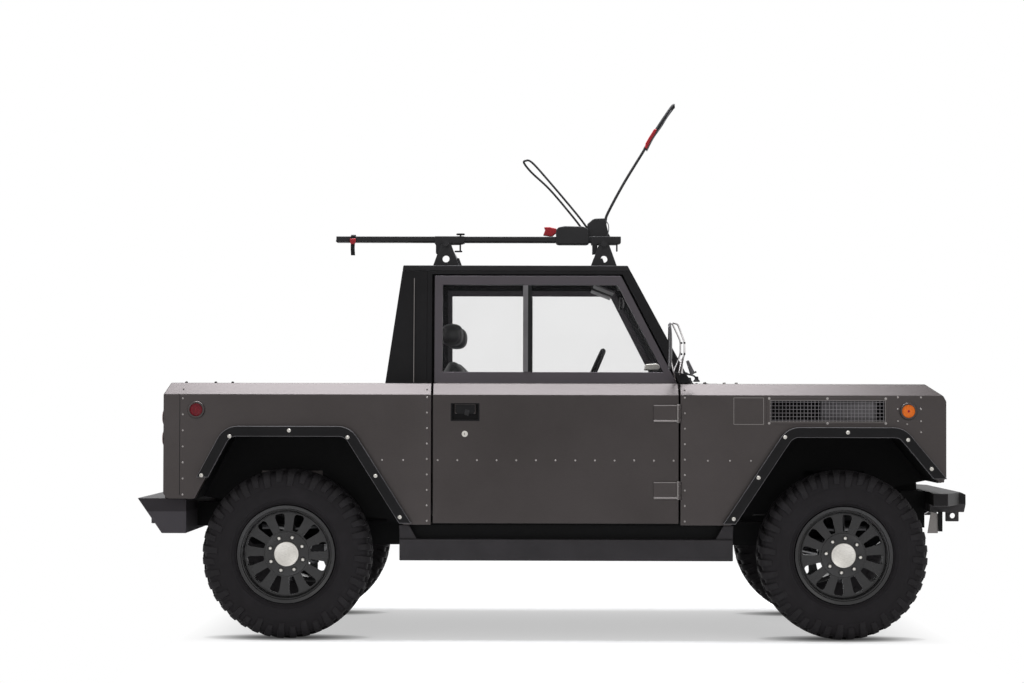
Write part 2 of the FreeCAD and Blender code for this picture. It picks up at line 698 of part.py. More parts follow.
def cab_front(inset, low, high):
    """The cab's outline seen from ahead, drawn in by an inset."""
    return [(-window_plane(low) + inset, low), (window_plane(low) - inset, low),
            (window_plane(high) - inset, high), (-window_plane(high) + inset, high)]


screen_opening = cab_front(pillar, deck + sill_rise, roof_base - head_drop)
screen_ring = prism("screen_ring", "YZ", cab_front(0.0, deck, roof_base), screen_head - 100, screen_foot + 10,
                    holes=[screen_opening])
screen_frame = common("screen_frame", screen_strip("screen_strip", 0.0, screen_wall, deck, roof_base),
                      screen_ring)
keep("cab_pillars", fuse("cab_pillars_all", ring, other_side("side_ring_left", ring), screen_frame))
screen_hole = prism("screen_hole", "YZ", screen_opening, screen_head - 100, screen_foot + 10)
screen_glass = common("screen_glass", screen_strip("screen_glass_strip", 16.0, glass_wall, deck, roof_base),
                      screen_hole)

quarter_points = [(post_back, deck), (post_back, roof_base), (back_line(roof_base), roof_base),
                  (cab_back, deck)]
quarter = common("quarter", prism("quarter_plate", "XZ", quarter_points, -cab_half_base, -cab_half_top + 80),
                 window_slab("quarter_slab", cab_back - 10, post_back, deck, roof_base, 0.0, panel_wall))
back_wall_points = [(cab_back, deck), (back_line(roof_base), roof_base),
                    (back_line(roof_base) + panel_wall, roof_base), (cab_back + panel_wall, deck)]
back_opening = cab_front(230.0, deck + 90, roof_base - 80)
back_wall = common("back_wall", prism("back_wall_strip", "XZ", back_wall_points, -cab_half_base,
                                      cab_half_base),
                   prism("back_wall_ring", "YZ", cab_front(0.0, deck, roof_base), cab_back - 10,
                         roof_back + 60, holes=[back_opening]))
bulkhead = block("bulkhead", cab_back, cab_back + panel_wall, -inner_side, inner_side, floor_top, deck)
ledge = block("ledge", cab_back, door_back_edge - running_gap, -inner_side, -cab_half_base + panel_wall,
              deck - panel_wall, deck)
cab_rear = fuse("cab_rear", quarter, other_side("quarter_left", quarter), back_wall, bulkhead, ledge,
                other_side("ledge_left", ledge))
keep("cab_rear_wall", cut("cab_rear_open", cab_rear, *box_cuts))
back_glass_points = [(x + 10, z) if number < 2 else (x - 11, z) for number,
                     (x, z) in enumerate(back_wall_points)]
back_glass = common("back_glass", prism("back_glass_strip", "XZ", back_glass_points, -cab_half_base,
                                        cab_half_base),
                    prism("back_glass_cut", "YZ", back_opening, cab_back - 10, roof_back + 60))
keep("cab_glass", fuse("cab_glass_pair", screen_glass, back_glass))
roof_points = [(back_line(roof_base), roof_base), (roof_back, roof_top), (screen_head, roof_top),
               (screen_line(roof_base), roof_base)]
keep("roof_panel", prism("roof", "XZ", roof_points, -cab_half_top, cab_half_top))

# Nose: panel with round lamps and a wide grille opening, hood, cowl, firewall and front tray
nose_wall = 60.0
headlamp_side = half_width - headlamp_inset
nose_back = nose - nose_wall
grille_half, grille_low, grille_high = headlamp_side - headlamp_radius - 78, waist - 316, waist - 66
nose_points = [(nose_back, nose_base), (nose, nose_base), (nose, waist - 26),
               (nose - 10, waist - running_gap), (nose_back, waist - running_gap)]
nose_plate = prism("nose_plate", "XZ", nose_points, -inner_side, inner_side)
grille_hole = block("grille_hole", nose_back - 10, nose + 10, -grille_half, grille_half, grille_low,
                    grille_high)
lamp_bores = []
headlamps = []
for name, side in (("right", -headlamp_side), ("left", headlamp_side)):
    lamp_bores.append(rod(f"headlamp_bore_{name}", (nose_back - 10, side, headlamp_level),
                          (nose + 10, side, headlamp_level), headlamp_radius + seat_gap))
    bowl = rod(f"headlamp_bowl_{name}", (nose_back, side, headlamp_level), (nose - 8, side, headlamp_level),
               headlamp_radius)
    ring = rod(f"headlamp_front_{name}", (nose - 8, side, headlamp_level), (nose + 7, side, headlamp_level),
               headlamp_radius - 8)
    headlamps.append(fuse(f"headlamp_{name}", bowl, ring))
keep("front_panel", cut("front_panel_open", nose_plate, grille_hole, *lamp_bores, *box_cuts))
keep("headlamps", fuse("headlamps_both", *headlamps))

hood_back = door_front + 158
hood_hinge_level = deck + 6
hood_half = inner_side - running_gap
hood_points = [(hood_back, deck - panel_wall), (hood_back, deck), (nose - nose_fold_back, deck),
               (nose - nose_fold_ahead, waist), (nose_back + 6, waist), (nose_back + 6, waist + 12),
               (nose - nose_fold_back - 12, deck - panel_wall)]
hood_axis = hood_back - half_gap
cowl_front = hood_back - running_gap


def lid_hinge(name, low, high, reach):
    """A barrel on the hood's hinge line with its leaf."""
    barrel = rod(f"{name}_barrel", (hood_axis, low, hood_hinge_level), (hood_axis, high, hood_hinge_level), 6)
    far = hood_axis + reach
    back, ahead = (hood_axis, far) if reach > 0 else (far, hood_axis)
    return [barrel, block(f"{name}_leaf", back, ahead, low, high, deck, deck + 4)]


hinge_sides = {"right": (-420.0, -380.0, -340.0), "left": (380.0, 420.0, 340.0)}
hood_pieces = [prism("hood_sheet", "XZ", hood_points, -hood_half, hood_half)]
cowl_pieces = [block("cowl", door_front + half_gap, cowl_front, -inner_side, inner_side, deck - panel_wall,
                     deck)]
for side, (low, high, far) in hinge_sides.items():
    hood_pieces += lid_hinge(f"hood_hinge_{side}", low, high, 60)
    near = (high + seat_gap, far) if side == "right" else (far, low - seat_gap)
    cowl_pieces += lid_hinge(f"cowl_hinge_{side}", near[0], near[1], -60)
keep("hood", fuse("hood_whole", *hood_pieces))
firewall_back = door_front + 94
firewall_front = firewall_back + thin_wall
cowl_pieces.append(block("firewall", firewall_back, firewall_front, -inner_side, inner_side, floor_top,
                         deck - panel_wall))
keep("cowl_firewall", fuse("cowl_whole", *cowl_pieces))

tray_half, tray_low, tray_high = 338.0, 640.0, deck - panel_wall - 24
tub_outer = block("tub_outer", firewall_front, nose_back, -tray_half, tray_half, tray_low, tray_high)
tub_flange = block("tub_flange", firewall_front, nose_back, -inner_side, inner_side, tray_high - thin_wall,
                   tray_high)
tub_inner = block("tub_inner", firewall_front + thin_wall, nose_back - thin_wall, -tray_half + thin_wall,
                  tray_half - thin_wall, tray_low + thin_wall, tray_high + 10)
keep("front_tray", cut("front_tray_open", fuse("front_tray_whole", tub_outer, tub_flange), tub_inner))


def mesh_panel(name, plane, low_a, high_a, low_b, high_b, near, far, columns, rows, bar):
    """A rim with evenly spaced bars both ways, for the nose or a side vent."""
    pieces = []
    low_a, high_a, low_b, high_b = (as_size(item) for item in (low_a, high_a, low_b, high_b))

    def strip(label, a0, a1, b0, b1):
        if plane == "YZ":
            return block(f"{name}_{label}", near, far, a0, a1, b0, b1)
        return block(f"{name}_{label}", a0, a1, near, far, b0, b1)

    for column in range(columns + 1):
        place = low_a + (high_a - low_a - bar) * (column / columns)
        pieces.append(strip(f"column_{column}", place, place + bar, low_b, high_b))
    for row in range(rows + 1):
        place = low_b + (high_b - low_b - bar) * (row / rows)
        pieces.append(strip(f"row_{row}", low_a, high_a, place, place + bar))
    return fuse(name, *pieces)


grille = mesh_panel("grille_mesh", "YZ", -grille_half, grille_half, grille_low, grille_high,
                    nose - 36, nose - 24, 20, 5, 10.0)
vent = mesh_panel("vent_mesh", "XZ", vent_back, vent_ahead, vent_low, vent_high,
                  -half_width + 6, -half_width + 12, 16, 3, 6.0)
keep("grilles", fuse("grilles_all", grille, vent, other_side("vent_mesh_left", vent)))

# Side and tail lamps: round lenses in the body's bores


amber = rod("amber_marker", (front_marker, -half_width - 6, marker_level),
                   (front_marker, -half_width + panel_wall, marker_level), marker_radius)
red = [rod("red_marker", (rear_marker, -half_width - 6, marker_level),
                  (rear_marker, -half_width + panel_wall, marker_level), marker_radius)]
for number, level in enumerate(tail_lamp_levels, 1):
    red.append(rod(f"tail_lamp_{number}", (tail - 6, -tail_lamp_side, level),
                          (tail + panel_wall, -tail_lamp_side, level), marker_radius - 4))
both_sides("lamps_amber", amber)
both_sides("lamps_red", fuse("lamps_red_right", *red))

# Bed: floor, wheel-box cut-outs and rear sill; the tailgate hangs on the sill's hinges
gate_wall = 50.0
gate_half = inner_side - running_gap
bed_end = tail + gate_wall
sill_top = bed_floor - 9
bed_plate = block("bed_plate", bed_end, cab_back, -inner_side, inner_side,
                  bed_floor - panel_wall, bed_floor)
bed_sill = block("bed_sill", tail, bed_end, -inner_side, inner_side, tail_base, sill_top)
bed_pieces = [bed_plate, bed_sill]
gate_pieces = [prism("gate_sheet", "XZ", [(tail, bed_floor + running_gap), (tail, waist),
                                          (tail + fold * 0.55, deck),
                                          (bed_end, deck), (bed_end, bed_floor + running_gap)],
                     -gate_half, gate_half)]
for side, (low, high, far) in {"right": (-640.0, -580.0, -530.0), "left": (580.0, 640.0, 530.0)}.items():
    near = (high + seat_gap, far) if side == "right" else (far, low - seat_gap)
    gate_pieces.append(rod(f"gate_hinge_{side}", (tail, low, bed_floor), (tail, high, bed_floor), 8.5))
    bed_pieces.append(rod(f"sill_hinge_{side}", (tail, near[0], bed_floor), (tail, near[1], bed_floor), 7.4))
    bed_pieces.append(block(f"sill_hinge_web_{side}", tail, tail + 7, near[0], near[1], sill_top, bed_floor))
keep("bed_tub", cut("bed_open", fuse("bed_whole", *bed_pieces), *box_cuts))
keep("tailgate", fuse("tailgate_whole", *gate_pieces))

# Frame: two rails, crossmembers and spring towers
rail_outer = rail_inner + rail_width
rail_top = rail_base + rail_height
rail_back = tail + 100
beam_back = nose - 30
rail_front = beam_back
drive_half_length = drive_length / 2
kick_near = drive_half_length + cross_width + 20
kick_far = kick_near + rail_kick
rail_points = [(rail_back, rail_base + rail_kick), (rear_axle - kick_far, rail_base + rail_kick),
               (rear_axle - kick_near, rail_base), (front_axle + kick_near, rail_base),
               (front_axle + kick_far, rail_base + rail_kick), (rail_front, rail_base + rail_kick),
               (rail_front, rail_top + rail_kick), (front_axle + kick_far - 20, rail_top + rail_kick),
               (front_axle + kick_near - 20, rail_top), (rear_axle - kick_near + 20, rail_top),
               (rear_axle - kick_far + 20, rail_top + rail_kick), (rail_back, rail_top + rail_kick)]
frame_pieces = []
for name, low, high in (("right", -rail_outer, -rail_inner), ("left", rail_inner, rail_outer)):
    frame_pieces.append(prism(f"rail_{name}", "XZ", rail_points, low, high))
    frame_pieces.append(block(f"bumper_bracket_{name}", beam_back - 120, beam_back, low, high, rail_top,
                              front_bumper_top))
for number, place in enumerate((rear_axle - drive_half_length - cross_width, rear_axle + drive_half_length,
                                front_axle - drive_half_length - cross_width,
                                front_axle + drive_half_length), 1):
    frame_pieces.append(block(f"crossmember_{number}", place, place + cross_width, -rail_inner, rail_inner,
                              rail_base + 20, rail_base + 100))
towers = []
tower_top = rail_top + 212
tower_points = [(-rail_inner, rail_top), (-rail_inner, tower_top), (-rail_outer - 120, tower_top),
                (-rail_outer - 120, tower_top - 20), (-rail_outer, tower_top - 60), (-rail_outer, rail_top)]
for name, axle in (("rear", rear_axle), ("front", front_axle)):
    tower = prism(f"tower_{name}", "YZ", tower_points, axle - 60, axle + 60)
    towers.append(tower)
    frame_pieces += [tower, other_side(f"tower_{name}_left", tower)]
keep("chassis_frame", fuse("frame_whole", *frame_pieces))

# The heavy masses: battery between the rails and a drive unit on each axle
battery_inset = drive_half_length + cross_width + battery_room
masses = [block("battery", rear_axle + battery_inset, front_axle - battery_inset, -rail_inner, rail_inner,
                battery_base, rail_top - 8)]
for name, axle in (("rear", rear_axle), ("front", front_axle)):
    masses.append(block(f"drive_{name}", axle - drive_half_length, axle + drive_half_length, -drive_half,
                        drive_half,
                        drive_base, drive_base + drive_height))
keep("battery_and_drives", fuse("masses", *masses))

# Cab floor with the black sills, and the rock rails that stand out below them
sill_out = inner_side - 6
floor_half = inner_side - thin_wall
floor_pieces = [block("floor_plate", cab_back, firewall_front, -floor_half, floor_half, rail_top, floor_top)]
sill_back, sill_ahead = rear_axle + rear_foot_ahead + 5, front_axle - front_foot_back - 16
sill = block("sill", sill_back, sill_ahead, -sill_out, -sill_out + 60, sill_base, rail_top)
floor_pieces += [sill, other_side("sill_left", sill)]
for name, place in (("right", -seat_side), ("left", seat_side)):
    floor_pieces.append(block(f"seat_base_{name}", seat_rear + 40, seat_front - 60,
                              place - seat_width / 2 + 50,
                              place + seat_width / 2 - 50, floor_top, cushion_low - seat_gap))
keep("cab_floor", cut("floor_open", fuse("floor_whole", *floor_pieces), *box_cuts))
guard_top = rail_guard_base + rail_guard_height
guard_out = half_width - 6
guard_back = rear_axle + rear_foot_ahead - guard_lap
guard_ahead = front_axle - front_foot_back - guard_lap
guard_level = guard_top - seat_gap
guard_pieces = [block("guard", guard_back, guard_ahead, -guard_out, -guard_out + 80, rail_guard_base,
                      guard_level)]
for number, place in enumerate((guard_back + 230, (guard_back + guard_ahead) / 2 - 30, guard_ahead - 282), 1):
    guard_pieces.append(block(f"outrigger_{number}", place, place + 60, -guard_out + 70, -rail_outer,
                              rail_base + 5, guard_level))
gusset_top = body_base - seat_gap
for name, place, sign in (("rear", guard_back, 1.0), ("front", guard_ahead, -1.0)):
    gusset_points = [(place, guard_level), (place + 83 * sign, guard_level), (place + 45 * sign, gusset_top),
                     (place - 3 * sign, gusset_top)]
    guard_pieces.append(prism(f"gusset_{name}", "XZ", gusset_points, -guard_out + 16, -guard_out + 26))
both_sides("rock_rails", fuse("rock_rail", *guard_pieces))

# Bumpers with recovery eyes, and the plate under the nose
rear_low = rear_bumper_top - rear_bumper_height
rear_beam = prism("rear_beam", "XZ", [(tail - rear_bumper_reach, rear_bumper_top), (tail - 18, rear_low),
                                      (rail_back, rear_low), (rail_back, rear_bumper_top)], -880, 880)
eye_side = rail_inner + rail_width / 2
rear_eye_place = (tail - 100, rear_low + 56)
front_eye_place = (nose + front_bumper_reach - 34, front_bumper_top - front_bumper_height - 26)


def recovery_eye(name, place, back, ahead, low, high):
    """An upright plate with a round hole, for a shackle."""
    plate = block(f"{name}_plate", back, ahead, -eye_side - tow_plate / 2, -eye_side + tow_plate / 2, low,
                  high)
    hole = rod(f"{name}_hole", (place[0], -eye_side - tow_plate, place[1]),
               (place[0], -eye_side + tow_plate, place[1]), tow_bore)
    return plate, hole


rear_plate, rear_hole = recovery_eye("rear_eye", rear_eye_place, tail - rear_bumper_reach, tail - 30,
                                     rear_eye_place[1] - 30, rear_eye_place[1] + 30)
keep("bumper_rear", cut("bumper_rear_whole", fuse("bumper_rear_beam", rear_beam, rear_plate,
                                                  other_side("rear_eye_left", rear_plate)),
                        rear_hole, other_side("rear_eye_hole_left", rear_hole)))
front_low = front_bumper_top - front_bumper_height
beam_tip = nose + front_bumper_reach
front_beam = prism("front_beam", "XZ", [(beam_back, front_low), (beam_tip - 8, front_low),
                                        (beam_tip, front_low + 38),
                                        (beam_tip, front_bumper_top - 12), (beam_tip - 27, front_bumper_top),
                                        (beam_back, front_bumper_top)], -600, 600)
wing = prism("front_wing", "XY", [(beam_back, -600), (beam_back - 20, -880), (nose + 20, -880),
                                  (beam_tip - 27, -600)],
             front_low + 38, front_bumper_top)
front_plate, front_hole = recovery_eye("front_eye", front_eye_place, front_eye_place[0] - 34,
                                       front_eye_place[0] + 30, front_eye_place[1] - 28, front_low + 10)
keep("bumper_front", cut("bumper_front_whole", fuse("bumper_front_beam", front_beam, wing,
                                                    other_side("front_wing_left", wing), front_plate,
                                                    other_side("front_eye_left", front_plate)),
                         front_hole, other_side("front_eye_hole_left", front_hole)))
skid_level, skid_wall = drive_base - 2, 8.0
keep("skid_plate", prism("skid", "XZ", [(nose + 10, front_low - seat_gap), (nose + 24, front_low - seat_gap),
                                        (front_axle + drive_half_length + 16, skid_level - skid_wall),
                                        (front_axle - drive_half_length, skid_level - skid_wall),
                                        (front_axle - drive_half_length, skid_level),
                                        (front_axle + drive_half_length + 10, skid_level)], -300, 300))

# Running gear. Each wheel's steering axis stands inboard of the tyre's middle plane
wheel_side = track / 2
pin_side = wheel_side - pin_offset
lower_ball = tyre_radius - ball_spread
upper_ball = tyre_radius + ball_spread
bush_side = rail_outer + bush_radius + seat_gap
half_eye = eye_height / 2


def wishbone(name, axle, spread, pivot, ball):
    """Two tubes from a long bush on the frame to one eye round the ball joint's pin."""
    pieces = [rod(f"{name}_bush", (axle - spread - 30, -bush_side, pivot),
                  (axle + spread + 30, -bush_side, pivot), bush_radius),
              rod(f"{name}_eye", (axle, -pin_side, ball - half_eye), (axle, -pin_side, ball + half_eye),
                  eye_radius)]
    for side, place in (("back", axle - spread), ("ahead", axle + spread)):
        pieces.append(rod(f"{name}_{side}", (place, -bush_side, pivot),
                          (axle, -pin_side + eye_radius / 2, ball), arm_radius))
    hole = rod(f"{name}_pin_hole", (axle, -pin_side, ball - 60), (axle, -pin_side, ball + 60),
               pin_radius + seat_gap)
    return cut(f"{name}_open", fuse(f"{name}_whole", *pieces), hole)


def coil_over(name, axle):
    """Spring and damper from the tower's plate to a fork on the lower arm."""
    low_side, high_side = pin_side - 155, rail_outer + 70
    fork_level, spring_top = 455.0, tower_top - 48
    foot_side = pin_side - 150
    share = (foot_side - bush_side) / (pin_side - bush_side)
    arm_place = lower_spread * (1 - share)
    arm_level = lower_pivot + (lower_ball - lower_pivot) * share
    pieces = [rod(f"{name}_spring", (axle, -low_side, fork_level + 12), (axle, -high_side, spring_top),
                  coil_radius),
              rod(f"{name}_rod", (axle, -high_side, spring_top - 30), (axle, -high_side, tower_top - 20),
                  damper_radius),
              rod(f"{name}_yoke", (axle - 66, -low_side, fork_level), (axle + 66, -low_side, fork_level), 16)]
    for side, sign in (("back", -1.0), ("ahead", 1.0)):
        foot = axle + (arm_place + 8) * sign
        pieces.append(rod(f"{name}_leg_{side}", (axle + 58 * sign, -low_side, fork_level),
                          (foot, -foot_side, arm_level + arm_radius + 5), 9))
    return fuse(name, *pieces)


def half_shaft(name, axle):
    """The drive shaft from the drive unit to its outer joint's boot."""
    return fuse(name, rod(f"{name}_bar", (axle, -drive_half, tyre_radius),
                          (axle, -pin_side + 30, tyre_radius), 20),
                rod(f"{name}_boot", (axle, -pin_side + 70, tyre_radius),
                    (axle, -pin_side + 22, tyre_radius), 36))


def knuckle(name, axle, steered):
    """The upright that carries the hub, with a pin at each ball joint."""
    web_in, web_out = pin_side + 25, pin_side + 55
    low_plate = lower_ball + half_eye + 6
    high_plate = upper_ball - half_eye - 6
    pieces = [block(f"{name}_web", axle - 42, axle + 42, -web_out, -web_in, low_plate, high_plate),
              rod(f"{name}_hub", (axle, -web_out, tyre_radius),
                  (axle, -wheel_side - tyre_width / 2 + disc_inset + disc_wall + seat_gap, tyre_radius), 62)]
    for side, low, high in (("low", low_plate, low_plate + 20), ("high", high_plate - 20, high_plate)):
        pieces.append(block(f"{name}_lug_{side}", axle - 24, axle + 24, -web_out, -pin_side + 16, low, high))
    for side, low, high in (("low", lower_ball - half_eye - 6, low_plate + 10),
                            ("high", high_plate - 10, upper_ball + half_eye + 6)):
        pieces.append(rod(f"{name}_pin_{side}", (axle, -pin_side, low), (axle, -pin_side, high), pin_radius))
    if steered:
        pieces.append(block(f"{name}_steer", axle - steer_arm - 14, axle - 30, -web_out, -web_in,
                            tyre_radius + 12, tyre_radius + 26))
        pieces.append(block(f"{name}_steer_end", axle - steer_arm - 14, axle - steer_arm + 14, -web_out,
                            -pin_side + 14, tyre_radius + 12, tyre_radius + 26))
    return fuse(name, *pieces)


for end, axle in (("rear", rear_axle), ("front", front_axle)):
    both_sides(f"suspension_{end}", fuse(f"arms_{end}", wishbone(f"lower_arm_{end}", axle, lower_spread,
                                                                 lower_pivot, lower_ball),
                                         wishbone(f"upper_arm_{end}", axle, upper_spread, upper_pivot,
                                                  upper_ball),
                                         half_shaft(f"half_shaft_{end}", axle)))
coil_overs = fuse("coil_overs_right", coil_over("coil_over_rear", rear_axle),
                  coil_over("coil_over_front", front_axle))
both_sides("coil_overs", cut("coil_overs_seated", coil_overs, *towers))
both_sides("knuckles_rear", knuckle("knuckle_rear", rear_axle, False))
front_knuckle = keep("knuckle_front_right", knuckle("knuckle_front", front_axle, True))
keep("knuckle_front_left", other_side("knuckle_front_mirrored", front_knuckle))

# Steering: a rack across the frame behind the front axle; its bar and tie rods slide in it
rack_place = front_axle - drive_half_length - 24
rack_radius, rack_bar_radius = 21.0, 10.0
rack_half = 290.0
rack_level = tyre_radius - 2
rack_tube = fuse("rack_tube", rod("rack_housing", (rack_place, -rack_half, rack_level),
                                  (rack_place, rack_half, rack_level), rack_radius),
                 block("rack_mount", rack_place - 14, rack_place + 14, -200, 200, rack_level + 12,
                       rail_base + 20))
keep("steering_rack", cut("rack_open", rack_tube, rod("rack_bore", (rack_place, -rack_half - 20, rack_level),
                                                      (rack_place, rack_half + 20, rack_level),
                                                      rack_bar_radius + seat_gap)))
rack_bar_end = rack_half + 60
tie_end = (front_axle - steer_arm, pin_side, rack_level)
tie_rod = rod("tie_rod", (rack_place, -rack_bar_end, rack_level), (tie_end[0], -tie_end[1], rack_level), 9)
tie_eye = rod("tie_eye", (tie_end[0], -tie_end[1], rack_level - 9), (tie_end[0], -tie_end[1],
                                                                       tyre_radius + 12 - seat_gap), 13)
tie_rods = fuse("tie_rods_all", rod("rack_bar", (rack_place, -rack_bar_end, rack_level),
                                    (rack_place, rack_bar_end, rack_level), rack_bar_radius),
                tie_rod, tie_eye, other_side("tie_rod_left", tie_rod), other_side("tie_eye_left", tie_eye))
keep("tie_rods", tie_rods)

# Wheels: a pressed disc with twelve slots in a wide barrel, eight nuts and a plain cap
disc_out = wheel_side + tyre_width / 2 - disc_inset
disc_in = disc_out - disc_wall
hub_out = disc_out + 12
cap_out = hub_out + cap_height - 12
half_tyre = tyre_width / 2
barrel_inner = bead_radius - rim_wall
flange_out = wheel_side + half_tyre - 6
flange_in = wheel_side - half_tyre + 6
flange_wall = 9.0
barrel_mouth = barrel_inner - 8
LUGS = 16
WINDOWS = 12
NUTS = 8


def rim(name, axle):
    """One wheel without its tyre."""
    profile = [(-disc_in, 0), (-cap_out, 0), (-cap_out, cap_radius - 7), (-cap_out + 7, cap_radius),
               (-hub_out, cap_radius), (-hub_out, hub_face_radius), (-disc_out, hub_face_radius + 6),
               (-disc_out, barrel_mouth), (-flange_out, barrel_mouth + 14),
               (-flange_out, bead_radius + rim_lip),
               (-flange_out + flange_wall, bead_radius + rim_lip), (-flange_out + flange_wall, bead_radius),
               (-flange_in - flange_wall, bead_radius), (-flange_in - flange_wall, bead_radius + rim_lip),
               (-flange_in, bead_radius + rim_lip), (-flange_in, barrel_inner), (-disc_in, barrel_inner)]
    body = turned(name, axle, tyre_radius, profile)
    slots = plane_sketch(body, f"{name}_slots", "XZ", disc_out + 20, axle, tyre_radius)
    half_slot, half_foot = slot_width / 2, slot_foot / 2
    outline(slots, [(-half_foot, slot_inner + 6), (-half_foot + 7, slot_inner), (half_foot - 7, slot_inner),
                    (half_foot, slot_inner + 6), (half_slot, slot_outer - 12), (half_slot - 12, slot_outer),
                    (-half_slot + 12, slot_outer), (-half_slot, slot_outer - 12)])
    pocket = body.newObject("PartDesign::Pocket", f"{name}_slot")
    pocket.Profile = slots
    bind(pocket, "Length", disc_wall + 40)
    pocket.Reversed = False
    body.Tip = pocket
    around(f"{name}_slot_ring", body, pocket, slots, WINDOWS)
    nuts = plane_sketch(body, f"{name}_nuts", "XZ", hub_out - 1, axle, tyre_radius)
    circle = nuts.addGeometry(Part.Circle(Vector(0, float(nut_circle), 0), Vector(0, 0, 1),
                                          float(nut_radius)), False)
    nuts.addConstraint(Sketcher.Constraint("PointOnObject", circle, 3, -2))
    for kind, length in (("Radius", nut_radius), ("DistanceY", nut_circle)):
        place = (circle,) if kind == "Radius" else (-1, 1, circle, 3)
        number = nuts.addConstraint(Sketcher.Constraint(kind, *place, length.value))
        nuts.setExpression(f"Constraints[{number}]", length.text)
    nut = body.newObject("PartDesign::Pad", f"{name}_nut")
    nut.Profile = nuts
    bind(nut, "Length", 22)
    body.Tip = nut
    around(f"{name}_nut_ring", body, nut, nuts, NUTS)
    return body


def ring_section(name, axle, side, inner_radius):
    """An even polygon across the axle's line, that a circle of the given radius just fits into."""
    section = doc.addObject("Part::RegularPolygon", name)
    section.Polygon = LUGS
    bind(section, "Circumradius", as_size(inner_radius) / math.cos(math.pi / LUGS))
    section.Placement = FreeCAD.Placement(Vector(0, 0, 0), FreeCAD.Rotation(Vector(1, 0, 0), 90)
                                          * FreeCAD.Rotation(Vector(0, 0, 1), 180 / LUGS))
    for letter, value in zip("xyz", (axle, side, tyre_radius)):
        bind(section, f"Placement.Base.{letter}", value)
    return section


def lofted(name, sections):
    """A solid with flat sides between even polygons."""
    loft = doc.addObject("Part::Loft", name)
    loft.Sections = sections
    loft.Solid = True
    loft.Ruled = True
    return loft


def tyre(name, axle):
    """One tyre with flat facets, one to each pair of lugs, so that it needs few faces."""
    low, high = -wheel_side - half_tyre, -wheel_side + half_tyre
    tread = tyre_radius - lug_height
    foot = tyre_radius - sidewall
    mouth = bead_radius + rim_lip + seat_gap
    rings = {"carcass": ((low, foot), (low + tyre_shoulder, tread), (high - tyre_shoulder, tread),
                         (high, foot)),
             "bore": ((low - 10, mouth), (high + 10, mouth))}
    shapes = {}
    for label, places in rings.items():
        sections = [ring_section(f"{name}_{label}_{number}", axle, side, radius)
                    for number, (side, radius) in enumerate(places, 1)]
        shapes[label] = lofted(f"{name}_{label}", sections)
    body = doc.addObject("PartDesign::Body", f"{name}_lugged")
    body.BaseFeature = cut(f"{name}_hollow", shapes["carcass"], shapes["bore"])
    for label, near in (("outer", low + 6), ("inner", high - 6 - lug_length)):
        lugs = plane_sketch(body, f"{name}_{label}_lugs", "XZ", -(near + lug_length), axle, tyre_radius)
        outline(lugs, [(-lug_width / 2, tread - 26), (lug_width / 2, tread - 26),
                       (lug_width / 2, tyre_radius), (-lug_width / 2, tyre_radius)])
        lug = body.newObject("PartDesign::Pad", f"{name}_{label}_lug")
        lug.Profile = lugs
        bind(lug, "Length", lug_length)
        body.Tip = lug
        around(f"{name}_{label}_ring", body, lug, lugs, LUGS)
    return body


for end, axle in (("rear", rear_axle), ("front", front_axle)):
    right_rim, right_tyre = rim(f"rim_base_{end}", axle), tyre(f"tyre_base_{end}", axle)
    keep(f"rim_{end}_right", right_rim)
    keep(f"rim_{end}_left", other_side(f"rim_{end}_mirrored", right_rim))
    keep(f"tyre_{end}_right", right_tyre)
    keep(f"tyre_{end}_left", other_side(f"tyre_{end}_mirrored", right_tyre))

# Inside the cab: two seats, the dashboard with its column, and the steering wheel
back_top = cushion_top + back_height - 100
head_radius = 66.0


def seat(name, side):
    """Cushion, leaning back and round headrest, as one plain shape."""
    low, high = side - seat_width / 2, side + seat_width / 2
    points = [(seat_front, cushion_low + 30), (seat_front, cushion_top - 20), (seat_front - 30, cushion_top),
              (seat_rear + 90, cushion_top - 20), (seat_rear - 10, back_top), (seat_rear - 100, back_top),
              (seat_rear - 20, cushion_low), (seat_front - 40, cushion_low)]
    head = rod(f"{name}_head", (seat_rear - 55, side - 130, back_top + 90),
               (seat_rear - 55, side + 130, back_top + 90), head_radius)
    neck = block(f"{name}_neck", seat_rear - 75, seat_rear - 35, side - 60, side + 60, back_top - 5,
                 back_top + 60)
    return keep(name, fuse(f"{name}_whole", prism(f"{name}_shape", "XZ", points, low, high), head, neck))


seat("seat_right", -seat_side)
seat("seat_left", seat_side)
wheel_x, wheel_z, wheel_y = door_front - wheel_reach, wheel_level, seat_side
unit = 1 / root(column_fall * column_fall + 1).value


def on_column(along, out=0.0, turn=0.0):
    """A point beside the steering column: along it, and out from it at some angle."""
    across, up = math.sin(math.radians(turn)) * out, math.cos(math.radians(turn)) * out
    return (wheel_x + along * unit + column_fall * (up * unit),
            wheel_y + across, wheel_z - column_fall * (along * unit) + up * unit)


dash_face = firewall_back - 190
dash_points = [(firewall_back, 1000), (firewall_back, deck - panel_wall),
               (firewall_back - 90, deck - panel_wall),
               (dash_face, deck - panel_wall - 20), (dash_face - 10, 1110), (dash_face + 60, 1000)]
dash_half = cab_half_base - 42
dash = prism("dash", "XZ", dash_points, -dash_half, dash_half)
column = rod("column", on_column(30.0), on_column(330.0), 30)
keep("dashboard", fuse("dashboard_whole", dash, column))
ring = doc.addObject("Part::Torus", "steering_ring")
bind(ring, "Radius1", wheel_ring)
bind(ring, "Radius2", ring_tube)
tilt = FreeCAD.Rotation(Vector(0, 0, 1), Vector(unit, 0, -column_fall.value * unit))
ring.Placement = FreeCAD.Placement(Vector(0, 0, 0), tilt)
for axis, value in zip("xyz", on_column(0.0)):
    bind(ring, f"Placement.Base.{axis}", value)
hub = rod("steering_hub", on_column(-12.0), on_column(29.7), 34)
